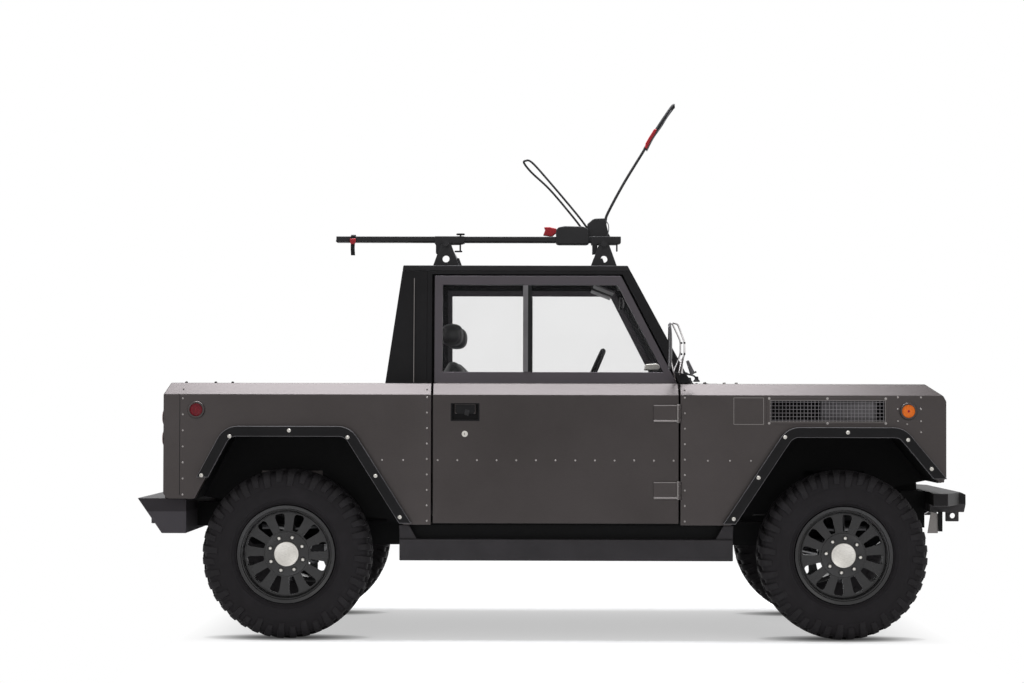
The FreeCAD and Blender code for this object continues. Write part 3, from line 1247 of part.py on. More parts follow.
spokes = [rod(f"steering_spoke_{number}", on_column(8.0, 20.0, turn),
              on_column(2.0, wheel_ring.value, turn), 8)
          for number, turn in enumerate((90.0, 180.0, 270.0), 1)]
keep("steering_wheel", fuse("steering_wheel_whole", ring, hub, *spokes))

# Mirrors on the cowl ledge beside each windscreen pillar
mirror_place = door_front + 26
mirror_pieces = [block("mirror_foot", mirror_place - 18, mirror_place + 52, -inner_side + 4,
                       -inner_side + 64, deck, deck + 50),
                 rod("mirror_arm", (mirror_place, -inner_side + 20, deck + 40),
                     (mirror_place - 50, -half_width - 60, deck + 110), 9),
                 block("mirror_head", mirror_place - 70, mirror_place - 42, -half_width - 110,
                       -half_width + 40, deck + 66, deck + 290)]
both_sides("mirrors", fuse("mirror", *mirror_pieces))

# Roof bars on triangular feet, and the cycle carrier clamped to them with its arms up
rear_bar_place = roof_back + bar_back
front_bar_place = screen_head - bar_front
bar_foot_side = cab_half_top - bar_foot_inset
bar_half = bar_foot_side + bar_end
bar_pieces = []
for name, place in (("rear", rear_bar_place), ("front", front_bar_place)):
    foot_points = [(place - bar_foot, roof_top), (place + bar_foot, roof_top), (place + 24, bar_level),
                   (place - 24, bar_level)]
    foot = cut(f"bar_foot_{name}", prism(f"bar_foot_{name}_plate", "XZ", foot_points, -bar_foot_side - 15,
                                         -bar_foot_side + 15),
               rod(f"bar_foot_{name}_hole", (place, -bar_foot_side - 20, roof_top + 34),
                   (place, -bar_foot_side + 20, roof_top + 34), 17))
    bar_pieces.append(fuse(f"crossbar_{name}_all", rod(f"crossbar_{name}", (place, -bar_half, bar_level),
                                                       (place, bar_half, bar_level), bar_radius),
                           foot, other_side(f"bar_foot_{name}_left", foot)))
keep("roof_crossbars", fuse("crossbars", *bar_pieces))
tray_base = bar_level + bar_radius + seat_gap
tray_top = tray_base + tray_wall
tray_mid = -tray_side
tray_half_width = tray_width / 2
tray_end = rear_bar_place - tray_back
carrier_pieces = [block("tray_rail", tray_end, front_bar_place + tray_ahead, tray_mid - tray_half_width,
                        tray_mid + tray_half_width, tray_base, tray_top)]
clamp_holes = [block("tray_groove", tray_end - 10, front_bar_place - 220, tray_mid - tray_half_width + 12,
                     tray_mid + tray_half_width - 12, tray_base + 8, tray_top + 10)]
for name, place in (("rear", rear_bar_place), ("front", front_bar_place)):
    carrier_pieces.append(block(f"clamp_{name}", place - 72, place + 72, tray_mid - 60, tray_mid + 60,
                                bar_level - bar_radius - 8, tray_base + 12))
    clamp_holes.append(rod(f"clamp_{name}_hole", (place, tray_mid - 70, bar_level),
                           (place, tray_mid + 70, bar_level), bar_radius + seat_gap))
arms = front_bar_place
carrier_pieces += [
    prism("arm_housing", "XZ", [(arms - 208, tray_top - 4), (arms - 35, tray_base + 5),
                                (arms - 35, tray_top + 50),
                                (arms - 160, tray_top + 50), (arms - 208, tray_top + 34)], tray_mid - 34,
                                tray_mid + 34),
    block("arm_lever", arms - 268, arms - 200, tray_mid - 22, tray_mid + 22, tray_top + 6, tray_top + 34),
    block("arm_block", arms - 40, arms + 42, tray_mid - 26, tray_mid + 26, tray_base + 5, tray_top + 122),
    rod("long_arm", (arms + 6, tray_mid, tray_top + 90), (arms + 349, tray_mid, tray_top + 652), 11),
    rod("short_arm", (arms - 60, tray_mid - 12, tray_top + 20), (arms - 388, tray_mid - 12, tray_top + 383),
        9),
    block("wheel_loop_pad", arms + 334, arms + 366, tray_mid - 30, tray_mid + 30, tray_top + 628,
          tray_top + 660),
    block("strap_buckle", tray_end + 62, tray_end + 104, tray_mid - tray_half_width - 14,
          tray_mid - tray_half_width + 4, tray_base - 22, tray_top + 8),
    block("strap_tail", tray_end + 76, tray_end + 96, tray_mid - tray_half_width - 10,
          tray_mid - tray_half_width - 4, tray_base - 84, tray_base)]
keep("cycle_carrier", cut("carrier_open", fuse("carrier_whole", *carrier_pieces), *clamp_holes))

# Everything has to be whole before a file is written
doc.recompute()
for obj in doc.Objects:
    if "Invalid" in obj.State or "Error" in obj.State:
        raise ValueError(f"{obj.Name} did not build")
for name, obj in NODES.items():
    if obj.Shape.isNull() or not obj.Shape.isValid():
        raise ValueError(f"{name} has no sound shape")
os.makedirs("parts", exist_ok=True)
for name, obj in NODES.items():
    obj.Shape.exportStep(f"parts/{name}.step")
    box = obj.Shape.BoundBox
    print(f"{name}: {len(obj.Shape.Solids)} solids, {obj.Shape.Volume / 1e6:.2f} litres, "
          f"X {box.XMin:.0f} {box.XMax:.0f} Y {box.YMin:.0f} {box.YMax:.0f} Z {box.ZMin:.0f} {box.ZMax:.0f}")
print(len(NODES), "sub-parts")
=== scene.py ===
# %% [markdown]
# # A lifted two-door utility 4x4
# Flat folded panels, riveted seams, mud tyres and a cycle carrier on the roof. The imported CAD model
# is loaded first and never moved. Whatever is added here goes on it, in metres, in the same frame:
# X forward, Y to the vehicle's left, Z up, wheels on Z = 0.

# %% Load the frame
import json
import math

import bmesh
import bpy
import numpy as np
from mathutils import Matrix, Vector

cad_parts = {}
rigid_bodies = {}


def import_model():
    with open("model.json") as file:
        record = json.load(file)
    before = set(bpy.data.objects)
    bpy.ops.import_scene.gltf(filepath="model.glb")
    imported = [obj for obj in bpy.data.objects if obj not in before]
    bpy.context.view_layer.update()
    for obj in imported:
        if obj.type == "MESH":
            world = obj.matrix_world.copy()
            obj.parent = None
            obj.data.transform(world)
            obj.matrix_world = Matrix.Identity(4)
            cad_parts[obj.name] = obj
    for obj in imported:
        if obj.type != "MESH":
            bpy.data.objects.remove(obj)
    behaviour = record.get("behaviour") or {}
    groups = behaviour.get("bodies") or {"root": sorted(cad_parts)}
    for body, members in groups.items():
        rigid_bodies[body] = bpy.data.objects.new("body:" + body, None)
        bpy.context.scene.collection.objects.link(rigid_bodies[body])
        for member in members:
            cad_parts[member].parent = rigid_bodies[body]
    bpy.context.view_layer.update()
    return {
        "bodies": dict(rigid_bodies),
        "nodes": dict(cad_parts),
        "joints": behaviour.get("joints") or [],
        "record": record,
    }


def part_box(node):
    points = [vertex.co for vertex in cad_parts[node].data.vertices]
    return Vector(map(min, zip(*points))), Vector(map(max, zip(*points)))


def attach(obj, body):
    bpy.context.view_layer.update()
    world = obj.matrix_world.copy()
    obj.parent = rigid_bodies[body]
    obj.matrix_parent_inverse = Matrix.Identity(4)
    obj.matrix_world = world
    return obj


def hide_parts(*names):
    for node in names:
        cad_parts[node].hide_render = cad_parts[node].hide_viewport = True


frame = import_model()
nodes = frame["nodes"]

# %% [markdown]
# ## The camera
# The photograph is taken from far away at the level of the body side, square to it. A long lens from
# 14 m gives its flat look. The aim is turned a little to the rear and up, and the picture leans by a
# tenth of a degree, so the rotation is built from yaw, pitch and roll in that order.

# %% Camera
rear_low, rear_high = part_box("tyre_rear_right")
front_low, front_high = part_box("tyre_front_right")
rear_axle = (rear_low.x + rear_high.x) / 2
front_axle = (front_low.x + front_high.x) / 2
axle_level = (rear_low.z + rear_high.z) / 2
middle = (rear_axle + front_axle) / 2
EYE_DISTANCE, EYE_LEVEL, EYE_BACK = 14.44, 1.147, 0.12

camera_data = bpy.data.cameras.new("camera")
camera_data.lens = 99.2
camera_data.sensor_width = 36.0
camera = bpy.data.objects.new("camera", camera_data)
bpy.context.scene.collection.objects.link(camera)
yaw, pitch, roll = math.radians(0.57), math.radians(91.19), math.radians(0.13)
aim = Matrix.Rotation(yaw, 4, "Z") @ Matrix.Rotation(pitch, 4, "X") @ Matrix.Rotation(roll, 4, "Z")
camera.matrix_world = Matrix.Translation((middle - EYE_BACK, -EYE_DISTANCE, EYE_LEVEL)) @ aim
bpy.context.scene.camera = camera
print("wheelbase", round(front_axle - rear_axle, 3), "middle", round(middle, 4))

# %% [markdown]
# ## Finishes
# A finish is a node tree. Written as sums and products of sockets it reads like the formula it is, so
# one small class lets Python's operators add Math nodes, and one method places any other node.


# %% Shader maths
class Wire:
    """A socket on which Python's operators add Math nodes."""

    def __init__(self, tree, socket):
        self.tree = tree
        self.socket = socket

    def maths(self, operation, first, second=None):
        values = {0: first} if second is None else {0: first, 1: second}
        return place(self.tree, "ShaderNodeMath", {"operation": operation}, values)

    def __add__(self, other):
        return self.maths("ADD", self, other)

    def __sub__(self, other):
        return self.maths("SUBTRACT", self, other)

    def __rsub__(self, other):
        return self.maths("SUBTRACT", other, self)

    def __mul__(self, other):
        return self.maths("MULTIPLY", self, other)

    def __truediv__(self, other):
        return self.maths("DIVIDE", self, other)

    def above(self, other):
        return self.maths("GREATER_THAN", self, other)

    def most(self, other):
        return self.maths("MAXIMUM", self, other)

    def sine(self):
        return self.maths("SINE", self)

    def size(self):
        return self.maths("ABSOLUTE", self)

    __radd__ = __add__
    __rmul__ = __mul__


# %% Nodes from values
def place(tree, kind, settings=None, values=None, output=0):
    """Add a node, set its settings first and then its sockets, and return one output."""
    node = tree.nodes.new(kind)
    for name, value in (settings or {}).items():
        setattr(node, name, value)
    for name, value in (values or {}).items():
        feed(tree, node.inputs[name], value)
    return Wire(tree, node.outputs[output])


def feed(tree, socket, value):
    """Link a wire to a socket, or set the socket."""
    if isinstance(value, Wire):
        tree.links.new(value.socket, socket)
    elif isinstance(value, (tuple, list)) and len(value) == 3 and socket.type == "RGBA":
        socket.default_value = (*value, 1.0)
    else:
        socket.default_value = value


# %% One finish
class Finish:
    """One material: its shader, the object's own coordinates, and a few patterns of noise."""

    def __init__(self, name, colour, rough, metal=0.0, **fixed):
        self.material = bpy.data.materials.new(name)
        self.material.use_nodes = True
        self.tree = self.material.node_tree
        self.shader = self.tree.nodes["Principled BSDF"]
        self.feed("Base Color", colour)
        self.feed("Roughness", rough)
        self.feed("Metallic", metal)
        for key, value in fixed.items():
            self.feed(key.replace("_", " "), value)
        self.where = place(self.tree, "ShaderNodeTexCoord", output="Object")

    def feed(self, name, value):
        feed(self.tree, self.shader.inputs[name], value)

    def node(self, kind, settings=None, values=None, output=0):
        return place(self.tree, kind, settings, values, output)

    def stretched(self, scale):
        """The object's coordinates, multiplied along each axis."""
        return self.node("ShaderNodeMapping", values={"Vector": self.where, "Scale": scale})

    def noise(self, scale, detail, where=None):
        values = {"Vector": where or self.where, "Scale": scale, "Detail": detail, "Roughness": 0.55}
        return self.node("ShaderNodeTexNoise", values=values)

    def blend(self, share, first, second):
        """A colour between two, by share."""
        settings = {"data_type": "RGBA", "clamp_factor": True}
        return self.node("ShaderNodeMix", settings, {0: share, 6: first, 7: second}, output=2)

    def between(self, value, low, high):
        """value from low..high to 0..1, clamped."""
        return self.node("ShaderNodeMapRange", {"clamp": True}, {"Value": value, 1: low, 2: high})

    def bump(self, height, depth, strength=1.0):
        values = {"Height": height, "Distance": depth, "Strength": strength}
        self.feed("Normal", self.node("ShaderNodeBump", values=values))


print("shader helpers ready")


# %% [markdown]
# ## Satin body paint
# The panels are flat aluminium with a thin dark grey-brown satin finish that lets a little of the
# metal's sheen through. Fine flakes and a faint cloudiness keep the large flat faces alive, and a
# bright overhead reflection runs along the folded shoulders. Metallic stays between plastic and
# metal, so that the paint is dark where the studio is dark and silver where it mirrors the light.


# %% Body finishes
def body_paint(name, dark, light, rough, above=None):
    """above is a height and the two colours of what stands above it, such as a door's window frame."""
    paint = Finish(name, dark, rough, 0.70, Coat_Weight=0.05, Coat_Roughness=0.3)
    cloud = paint.noise(2.3, 4.0)
    flake = paint.noise(900.0, 1.0)
    brushed = paint.noise(60.0, 2.0, paint.stretched((1.0, 1.0, 14.0)))
    share = paint.between(cloud * 0.6 + flake * 0.25 + brushed * 0.25, 0.38, 0.78)
    colour = paint.blend(share, dark, light)
    if above:
        level, upper_dark, upper_light = above
        height = paint.node("ShaderNodeSeparateXYZ", values={0: paint.where}, output=2)
        colour = paint.blend(height.above(level), colour, paint.blend(share, upper_dark, upper_light))
    paint.feed("Base Color", colour)
    paint.feed("Roughness", rough - 0.05 + paint.between(cloud, 0.3, 0.7) * 0.08 + flake * 0.05)
    paint.bump(flake * 0.4 + brushed * 0.6, 0.00012, 0.5)
    return paint.material


DARK, LIGHT = (0.044, 0.0375, 0.0365), (0.064, 0.0555, 0.0545)
DOOR_DARK, DOOR_LIGHT = (0.038, 0.0322, 0.0313), (0.055, 0.0475, 0.0467)
FRAME_DARK, FRAME_LIGHT = (0.058, 0.051, 0.058), (0.080, 0.071, 0.080)
window_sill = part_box("side_panel_right")[1].z + 0.003
finishes = {
    "body_paint": body_paint("body_paint", DARK, LIGHT, 0.36),
    "door_paint": body_paint("door_paint", DOOR_DARK, DOOR_LIGHT, 0.36,
                             (window_sill, FRAME_DARK, FRAME_LIGHT)),
    "window_frame_paint": body_paint("window_frame_paint", FRAME_DARK, FRAME_LIGHT, 0.40),
}
print("body finishes", list(finishes))

# %% [markdown]
# ## Black powder coat, rubber, cast and machined metal
# Trim, frame and bumpers are powder coated: a fine orange-peel bump and slight changes of gloss. The
# tyres are matt with dust in their hollows. Small things get the same care at a smaller scale.


# %% Other rigid finishes
def powder_coat(name, colour, rough, grain, depth, shine=0.25, painted_lit_below=None):
    """The last argument is a height, and a lighter colour for the leaning face under it: a painted lit
    face.
    """
    coat = Finish(name, colour, rough, Specular_IOR_Level=shine)
    peel = coat.noise(grain, 2.0)
    patch = coat.noise(5.0, 3.0)
    lighter = tuple(min(c * 1.5, 1.0) for c in colour)
    mixed = coat.blend(coat.between(patch, 0.35, 0.75), colour, lighter)
    if painted_lit_below:
        level, lit = painted_lit_below
        height = coat.node("ShaderNodeSeparateXYZ", values={0: coat.where}, output=2)
        mixed = coat.blend(height.above(level), lit, mixed)
    coat.feed("Base Color", mixed)
    coat.feed("Roughness", rough - 0.04 + patch * 0.1)
    coat.bump(peel, depth, 0.6)
    return coat.material


def plain_metal(name, colour, rough, grain):
    metal = Finish(name, colour, rough, 1.0)
    scratch = metal.noise(grain, 3.0, metal.stretched((1.0, 1.0, 9.0)))
    darker = tuple(c * 0.7 for c in colour)
    metal.feed("Base Color", metal.blend(metal.between(scratch, 0.35, 0.7), colour, darker))
    metal.feed("Roughness", rough - 0.05 + scratch * 0.14)
    metal.bump(scratch, 0.0001, 0.4)
    return metal.material


def rubber(name, colour):
    black = Finish(name, colour, 0.72, Specular_IOR_Level=0.18)
    grain = black.noise(420.0, 2.0)
    dust = black.noise(9.0, 4.0)
    dusty = tuple(c * 1.9 + 0.004 for c in colour)
    black.feed("Base Color", black.blend(black.between(dust, 0.5, 0.8) * 0.5, colour, dusty))
    black.feed("Roughness", 0.62 + dust * 0.2)
    black.bump(grain, 0.0003, 0.5)
    return black.material

# %% Tables of rigid finishes
# Colour, roughness, the grain of the orange peel and its depth, the shine, and a height with the lighter
# colour of the leaning face under it, a painted lit face
COATS = {
    "black_trim": ((0.0085, 0.0082, 0.0088), 0.48, 700.0, 0.0002, 0.12),
    "roof_black": ((0.016, 0.0152, 0.0162), 0.46, 700.0, 0.0002, 0.16),
    # edge_light is a light grey; on the arch flares' bevelled edges it is a painted highlight
    "edge_light": ((0.085, 0.082, 0.086), 0.40, 700.0, 0.0002),
    "frame_black": ((0.0045, 0.0045, 0.0048), 0.50, 500.0, 0.0002, 0.1),
    "bumper_coat": ((0.023, 0.021, 0.023), 0.46, 600.0, 0.0003, 0.2),
    "rear_bumper_coat_painted_lit_face": ((0.021, 0.018, 0.021), 0.46, 600.0, 0.0003, 0.2, (0.6086, (0.062, 0.057, 0.064))),
    "front_bumper_coat_painted_lit_face": ((0.011, 0.010, 0.0105), 0.46, 600.0, 0.0003, 0.15,
                          (0.6445, (0.070, 0.066, 0.068))),
    "wheel_black": ((0.0135, 0.013, 0.0135), 0.26, 800.0, 0.0001, 0.42),
    "cabin_trim": ((0.009, 0.009, 0.0095), 0.60, 900.0, 0.0004, 0.15),
    "red_plastic": ((0.36, 0.020, 0.028), 0.36, 500.0, 0.0002),
    "tube_coat": ((0.020, 0.0195, 0.0205), 0.46, 500.0, 0.0002, 0.2),
    "duct_grey": ((0.14, 0.135, 0.14), 0.5, 500.0, 0.0003),
    "mesh_wire": ((0.26, 0.245, 0.255), 0.34, 600.0, 0.0001, 0.4),
}
# Colour, roughness, and the grain of the scratches
METALS = {
    "running_steel": ((0.10, 0.10, 0.105), 0.42, 40.0),
    "bare_alloy": ((0.52, 0.515, 0.52), 0.30, 60.0),
    "bright_steel": ((0.62, 0.60, 0.56), 0.34, 70.0),
    "polished_tube": ((0.62, 0.60, 0.60), 0.20, 90.0),
    "silvered_glass": ((0.72, 0.74, 0.76), 0.06, 12.0),
    "rivet_paint": ((0.34, 0.32, 0.31), 0.34, 200.0),
    # This light metal is a painted highlight on the hinge rolls, the grille border and the port groove, and
    # a painted lit face on the bumper gussets
    "worn_paint_and_painted_highlight": ((0.22, 0.205, 0.20), 0.40, 150.0),
}
RUBBERS = {"tyre_rubber": ((0.0135, 0.012, 0.0135),), "tread_rubber": ((0.018, 0.0165, 0.018),)}
for maker, table in ((powder_coat, COATS), (plain_metal, METALS), (rubber, RUBBERS)):
    finishes.update({name: maker(name, *values) for name, values in table.items()})
print("rigid finishes", len(finishes))

# %% [markdown]
# ## Glass and lenses
# A pane is clear, with a faint grey tint and a sharp reflection. Most of the light passes straight
# through, so the seats behind it are lit as in the photograph. That is an alpha well under one
# rather than a refracting solid, which would leave the cabin in the dark.


# %% Glass
def pane(name, colour, alpha):
    glass = Finish(name, colour, 0.03, IOR=1.5)
    haze = glass.noise(3.0, 2.0)
    glass.feed("Alpha", alpha + haze * 0.03)
    glass.material.surface_render_method = "BLENDED"
    return glass.material


def lens(name, colour, glow):
    glass = Finish(name, colour, 0.2, Specular_IOR_Level=0.2, Emission_Strength=glow)
    ribs = (glass.node("ShaderNodeSeparateXYZ", values={0: glass.where}, output=0) * 900.0).sine()
    deep = tuple(c * 0.55 for c in colour)
    glass.feed("Base Color", glass.blend(ribs * 0.5 + 0.5, colour, deep))
    glass.feed("Emission Color", colour)
    glass.bump(ribs, 0.0006, 0.4)
    return glass.material


finishes["clear_glass"] = pane("clear_glass", (0.10, 0.10, 0.11), 0.045)
finishes["lamp_clear"] = pane("lamp_clear", (0.8, 0.82, 0.85), 0.45)
finishes["lamp_red"] = lens("lamp_red", (0.17, 0.006, 0.014), 0.18)
finishes["lamp_amber"] = lens("lamp_amber", (0.75, 0.16, 0.015), 0.35)
print("finishes with glass and lenses", len(finishes))

# %% [markdown]
# ## Seat cover
# Hard-wearing grained cover on both seats: small leather-like pores, softer on the crowns.


# %% Seat cover
def grained_cover(name, colour):
    cover = Finish(name, colour, 0.55, Sheen_Weight=0.3)
    pores = cover.node("ShaderNodeTexVoronoi", values={"Vector": cover.where, "Scale": 330.0})
    painted_highlight_edges = cover.noise(7.0, 3.0)
    cover.feed("Base Color", cover.blend(painted_highlight_edges, colour, tuple(c * 1.7 for c in colour)))
    cover.feed("Roughness", 0.48 + painted_highlight_edges * 0.16)
    cover.bump(pores, 0.0005, 0.7)
    return cover.material


finishes["seat_cover"] = grained_cover("seat_cover", (0.026, 0.025, 0.025))
print("finishes in all", len(finishes))

# %% Give every CAD node its finish
for part in frame["record"]["subparts"]:
    mesh = nodes[part["node"]].data
    mesh.materials.clear()
    mesh.materials.append(finishes[part["material_slot"]])

# %% [markdown]
# ## Shapes as arrays
# Every new piece is worked out with arrays. A shape is its points, its faces' corner numbers in one
# row, and how many corners each face has. A grid of points makes a surface; a profile turned about an
# axle makes a wheel; the same shape repeated by an array of matrices makes a row of rivets.


# %% Shapes
class Shape:
    """Points (n, 3), the faces' corner numbers in a row, and each face's number of corners."""

    def __init__(self, points, corners, counts):
        self.points = np.asarray(points, float)
        self.corners = np.asarray(corners, int)
        self.counts = np.asarray(counts, int)

    def __add__(self, other):
        return Shape(np.vstack([self.points, other.points]),
                     np.concatenate([self.corners, other.corners + len(self.points)]),
                     np.concatenate([self.counts, other.counts]))

    def copies(self, matrices):
        """The shape once for each matrix of an array (k, 4, 4)."""
        matrices = np.asarray(matrices, float).reshape(-1, 4, 4)
        count = len(matrices)
        points = np.einsum("kij,nj->kni", matrices[:, :3, :3], self.points) + matrices[:, None, :3, 3]
        steps = np.arange(count)[:, None] * len(self.points)
        return Shape(points.reshape(-1, 3), (self.corners[None] + steps).ravel(),
                     np.tile(self.counts, count))

    def mirrored(self, sign=-1.0):
        """The same on the vehicle's other side, or on this one where sign is 1."""
        return Shape(self.points * (1.0, sign, 1.0), self.corners, self.counts)


# %% Surfaces and solids
def grid(points, close_u=False, close_v=False, caps=()):
    """A quad between each four neighbours of points (rows, columns, 3). A closed way joins its end
    to its start. A cap, "u" or "v", closes the first and the last row or column with one face."""
    rows, columns = points.shape[:2]
    number = np.arange(rows * columns).reshape(rows, columns)
    first, last = number[0], number[-1][::-1]
    left, right = number[:, 0][::-1], number[:, -1]
    if close_u:
        number = np.vstack([number, number[:1]])
    if close_v:
        number = np.hstack([number, number[:, :1]])
    quads = np.stack([number[:-1, :-1], number[1:, :-1], number[1:, 1:], number[:-1, 1:]], -1)
    corners, counts = [quads.ravel()], [np.full(quads.size // 4, 4)]
    for way, ends in (("u", (first, last)), ("v", (left, right))):
        if way in caps:
            corners += ends
            counts += [[len(end)] for end in ends]
    return Shape(points.reshape(-1, 3), np.concatenate(corners), np.concatenate(counts))


def lathe(profile, count, centre=(0.0, 0.0, 0.0), closed=False):
    """(radius, along) turned about a line through centre along Y: x = r sin a, z = r cos a."""
    profile = np.asarray(profile, float)
    angle = np.arange(count) / count * 2 * math.pi
    radius, along = profile[:, 0], profile[:, 1]
    points = np.stack([np.outer(np.sin(angle), radius), np.broadcast_to(along, (count, len(along))),
                       np.outer(np.cos(angle), radius)], -1) + centre
    return grid(points, close_u=True, close_v=closed)


def smooth_line(points, steps):
    """A curve through the points: between two neighbours it is the cubic of Catmull and Rom."""
    points = np.asarray(points, float)
    padded = np.vstack([2 * points[:1] - points[1:2], points, 2 * points[-1:] - points[-2:-1]])
    before, start, end, after = padded[:-3], padded[1:-2], padded[2:-1], padded[3:]
    share = (np.arange(steps) / steps)[None, :, None]
    before, start, end, after = (part[:, None] for part in (before, start, end, after))
    curve = 0.5 * (2 * start + (end - before) * share
                   + (2 * before - 5 * start + 4 * end - after) * share**2
                   + (3 * start - before - 3 * end + after) * share**3)
    return np.vstack([curve.reshape(-1, points.shape[1]), points[-1:]])


def tube(path, radius, sides, up=(0.0, 1.0, 0.0)):
    """A ring carried along the path. Its two axes are up, made square to the path, and their product."""
    path = np.asarray(path, float)
    ahead = np.gradient(path, axis=0)
    ahead /= np.linalg.norm(ahead, axis=1, keepdims=True)
    across = np.cross(ahead, up)
    across /= np.linalg.norm(across, axis=1, keepdims=True)
    above = np.cross(across, ahead)
    angle = np.arange(sides) / sides * 2 * math.pi
    radius = np.broadcast_to(radius, len(path))[:, None, None]
    points = path[:, None] + radius * (np.cos(angle)[None, :, None] * across[:, None]
                                       + np.sin(angle)[None, :, None] * above[:, None])
    return grid(points, close_v=True, caps=("u",))


def plate(outline, low, high):
    """A flat outline in X and Z, as thick as from low to high along Y."""
    outline = np.asarray(outline, float)
    layers = [np.stack([outline[:, 0], np.full(len(outline), level), outline[:, 1]], -1)
              for level in (low, high)]
    return grid(np.stack(layers), close_v=True, caps=("u",))


def brick(low, high):
    """A block between two corners."""
    (x0, y0, z0), (x1, y1, z1) = low, high
    return plate([(x0, z0), (x1, z0), (x1, z1), (x0, z1)], y0, y1)


# %% Places and turns
def spots(places):
    """Matrices that only shift, one for each place."""
    places = np.asarray(places, float).reshape(-1, 3)
    matrices = np.tile(np.eye(4), (len(places), 1, 1))
    matrices[:, :3, 3] = places
    return matrices


def turns(count, centre, start=0.0):
    """Matrices that turn by even steps about a line through centre along Y."""
    angle = start + np.arange(count) / count * 2 * math.pi
    matrices = np.tile(np.eye(4), (count, 1, 1))
    matrices[:, 0, 0] = matrices[:, 2, 2] = np.cos(angle)
    matrices[:, 0, 2] = np.sin(angle)
    matrices[:, 2, 0] = -np.sin(angle)
    centre = np.asarray(centre, float)
    matrices[:, :3, 3] = centre - matrices[:, :3, :3] @ centre
    return matrices


# %% Objects from shapes
def build(name, shape, finish, body="body", slot=None, bevel=0.0, smooth=32.0, replaces=()):
    """Make the mesh and its object, merge doubles, point the faces outwards, and let it ride."""
    mesh = bpy.data.meshes.new(name)
    mesh.vertices.add(len(shape.points))
    mesh.vertices.foreach_set("co", shape.points.astype(np.float32).ravel())
    mesh.loops.add(len(shape.corners))
    mesh.loops.foreach_set("vertex_index", shape.corners.astype(np.int32))
    mesh.polygons.add(len(shape.counts))
    starts = np.concatenate([[0], np.cumsum(shape.counts)[:-1]])
    mesh.polygons.foreach_set("loop_start", starts.astype(np.int32))
    mesh.update(calc_edges=True)
    mesh.validate()
    return settle(name, mesh, finish, body, bevel, smooth, replaces)


def settle(name, mesh, finish, body, bevel, smooth, replaces, flat=0.0, painted_highlight_edges=None):
    """Clean a mesh, shade it, link its object and say what it rides on and stands for. The last argument
    is the finish of its bevelled edges, where they differ: a lighter one there is a painted highlight."""
    work = bmesh.new()
    work.from_mesh(mesh)
    bmesh.ops.remove_doubles(work, verts=work.verts, dist=0.00002)
    if flat:
        bmesh.ops.dissolve_limit(work, angle_limit=flat, verts=work.verts, edges=work.edges)
    bmesh.ops.recalc_face_normals(work, faces=work.faces)
    work.to_mesh(mesh)
    work.free()
    mesh.polygons.foreach_set("use_smooth", np.ones(len(mesh.polygons), bool))
    if not bevel:
        mesh.set_sharp_from_angle(angle=math.radians(smooth))
    mesh.materials.clear()
    mesh.materials.append(finishes[finish])
    piece = bpy.data.objects.new(name, mesh)
    bpy.context.scene.collection.objects.link(piece)
    if bevel:
        edge = piece.modifiers.new("edge", "BEVEL")
        edge.width, edge.segments = bevel, 2
        edge.limit_method, edge.angle_limit = "ANGLE", math.radians(24.0)
        edge.use_clamp_overlap = False
        if painted_highlight_edges:
            mesh.materials.append(finishes[painted_highlight_edges])
            edge.material = 1
        even = piece.modifiers.new("even", "WEIGHTED_NORMAL")
        even.weight = 100
    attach(piece, body)
    if replaces:
        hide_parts(*replaces)
    return piece


def both(name, shape, finish, body="body", **settings):
    """The same piece on the right and, mirrored, on the left. On "door" each side rides its own door."""
    pieces = []
    for flank, side_shape in (("right", shape), ("left", shape.mirrored())):
        ridden = f"door_{flank}" if body == "door" else body
        pieces.append(build(f"{name}_{flank}", side_shape, finish, body=ridden, **settings))
    return pieces


# What was turned about Y then stands upright, faces forward or faces back
UPRIGHT = np.array([[1.0, 0, 0, 0], [0, 0, -1.0, 0], [0, 1.0, 0, 0], [0, 0, 0, 1]])
FACE_FORWARD = np.array([[0, -1.0, 0, 0], [1.0, 0, 0, 0], [0, 0, 1.0, 0], [0, 0, 0, 1]])
FACE_BACK = np.array([[0, 1.0, 0, 0], [-1.0, 0, 0, 0], [0, 0, 1.0, 0], [0, 0, 0, 1]])
print("shape helpers ready")

# %% [markdown]
# ## Folded sheet edges
# The body is bent from flat sheet, so every fold has a small radius that catches the light. A copy of
# each panel's mesh has its flat triangles joined to whole faces again, and then a narrow bevel. The
# copy stands for the CAD node, which keeps its collision shape.

# %% Panels with rounded folds
BODY_OF = {name: body for body, names in frame["record"]["behaviour"]["bodies"].items()
           for name in names}
SLOT_OF = {row["node"]: row["material_slot"] for row in frame["record"]["subparts"]}
# Doors are painted in two tones, the roof and its pillars are black as the photograph shows, and the
# bumpers' leaning lower faces carry a painted lit colour
DRESSED = {"door_right": ("door_paint", "body_paint"), "door_left": ("door_paint", "body_paint"),
           "roof_panel": ("roof_black", "black_trim"), "cab_pillars": ("black_trim", "black_trim"),
           "bumper_rear": ("rear_bumper_coat_painted_lit_face", "bumper_coat"),
           "bumper_front": ("front_bumper_coat_painted_lit_face", "bumper_coat")}


def rounded(node, radius):
    """The node's own shape with folds of the given radius. The pillars' thin ring keeps its triangles,
    because one face round an opening would close it."""
    mesh = nodes[node].data.copy()
    finish, slot = DRESSED.get(node, (SLOT_OF[node], None))
    # On the arch flares the bevelled edges take the light grey edge_light finish: a painted highlight
    return settle(f"{node}_folded", mesh, finish, BODY_OF[node], radius, 30.0, (node,),
                  flat=0.0 if node == "cab_pillars" else math.radians(0.5),
                  painted_highlight_edges="edge_light" if node == "arch_flares" else None)


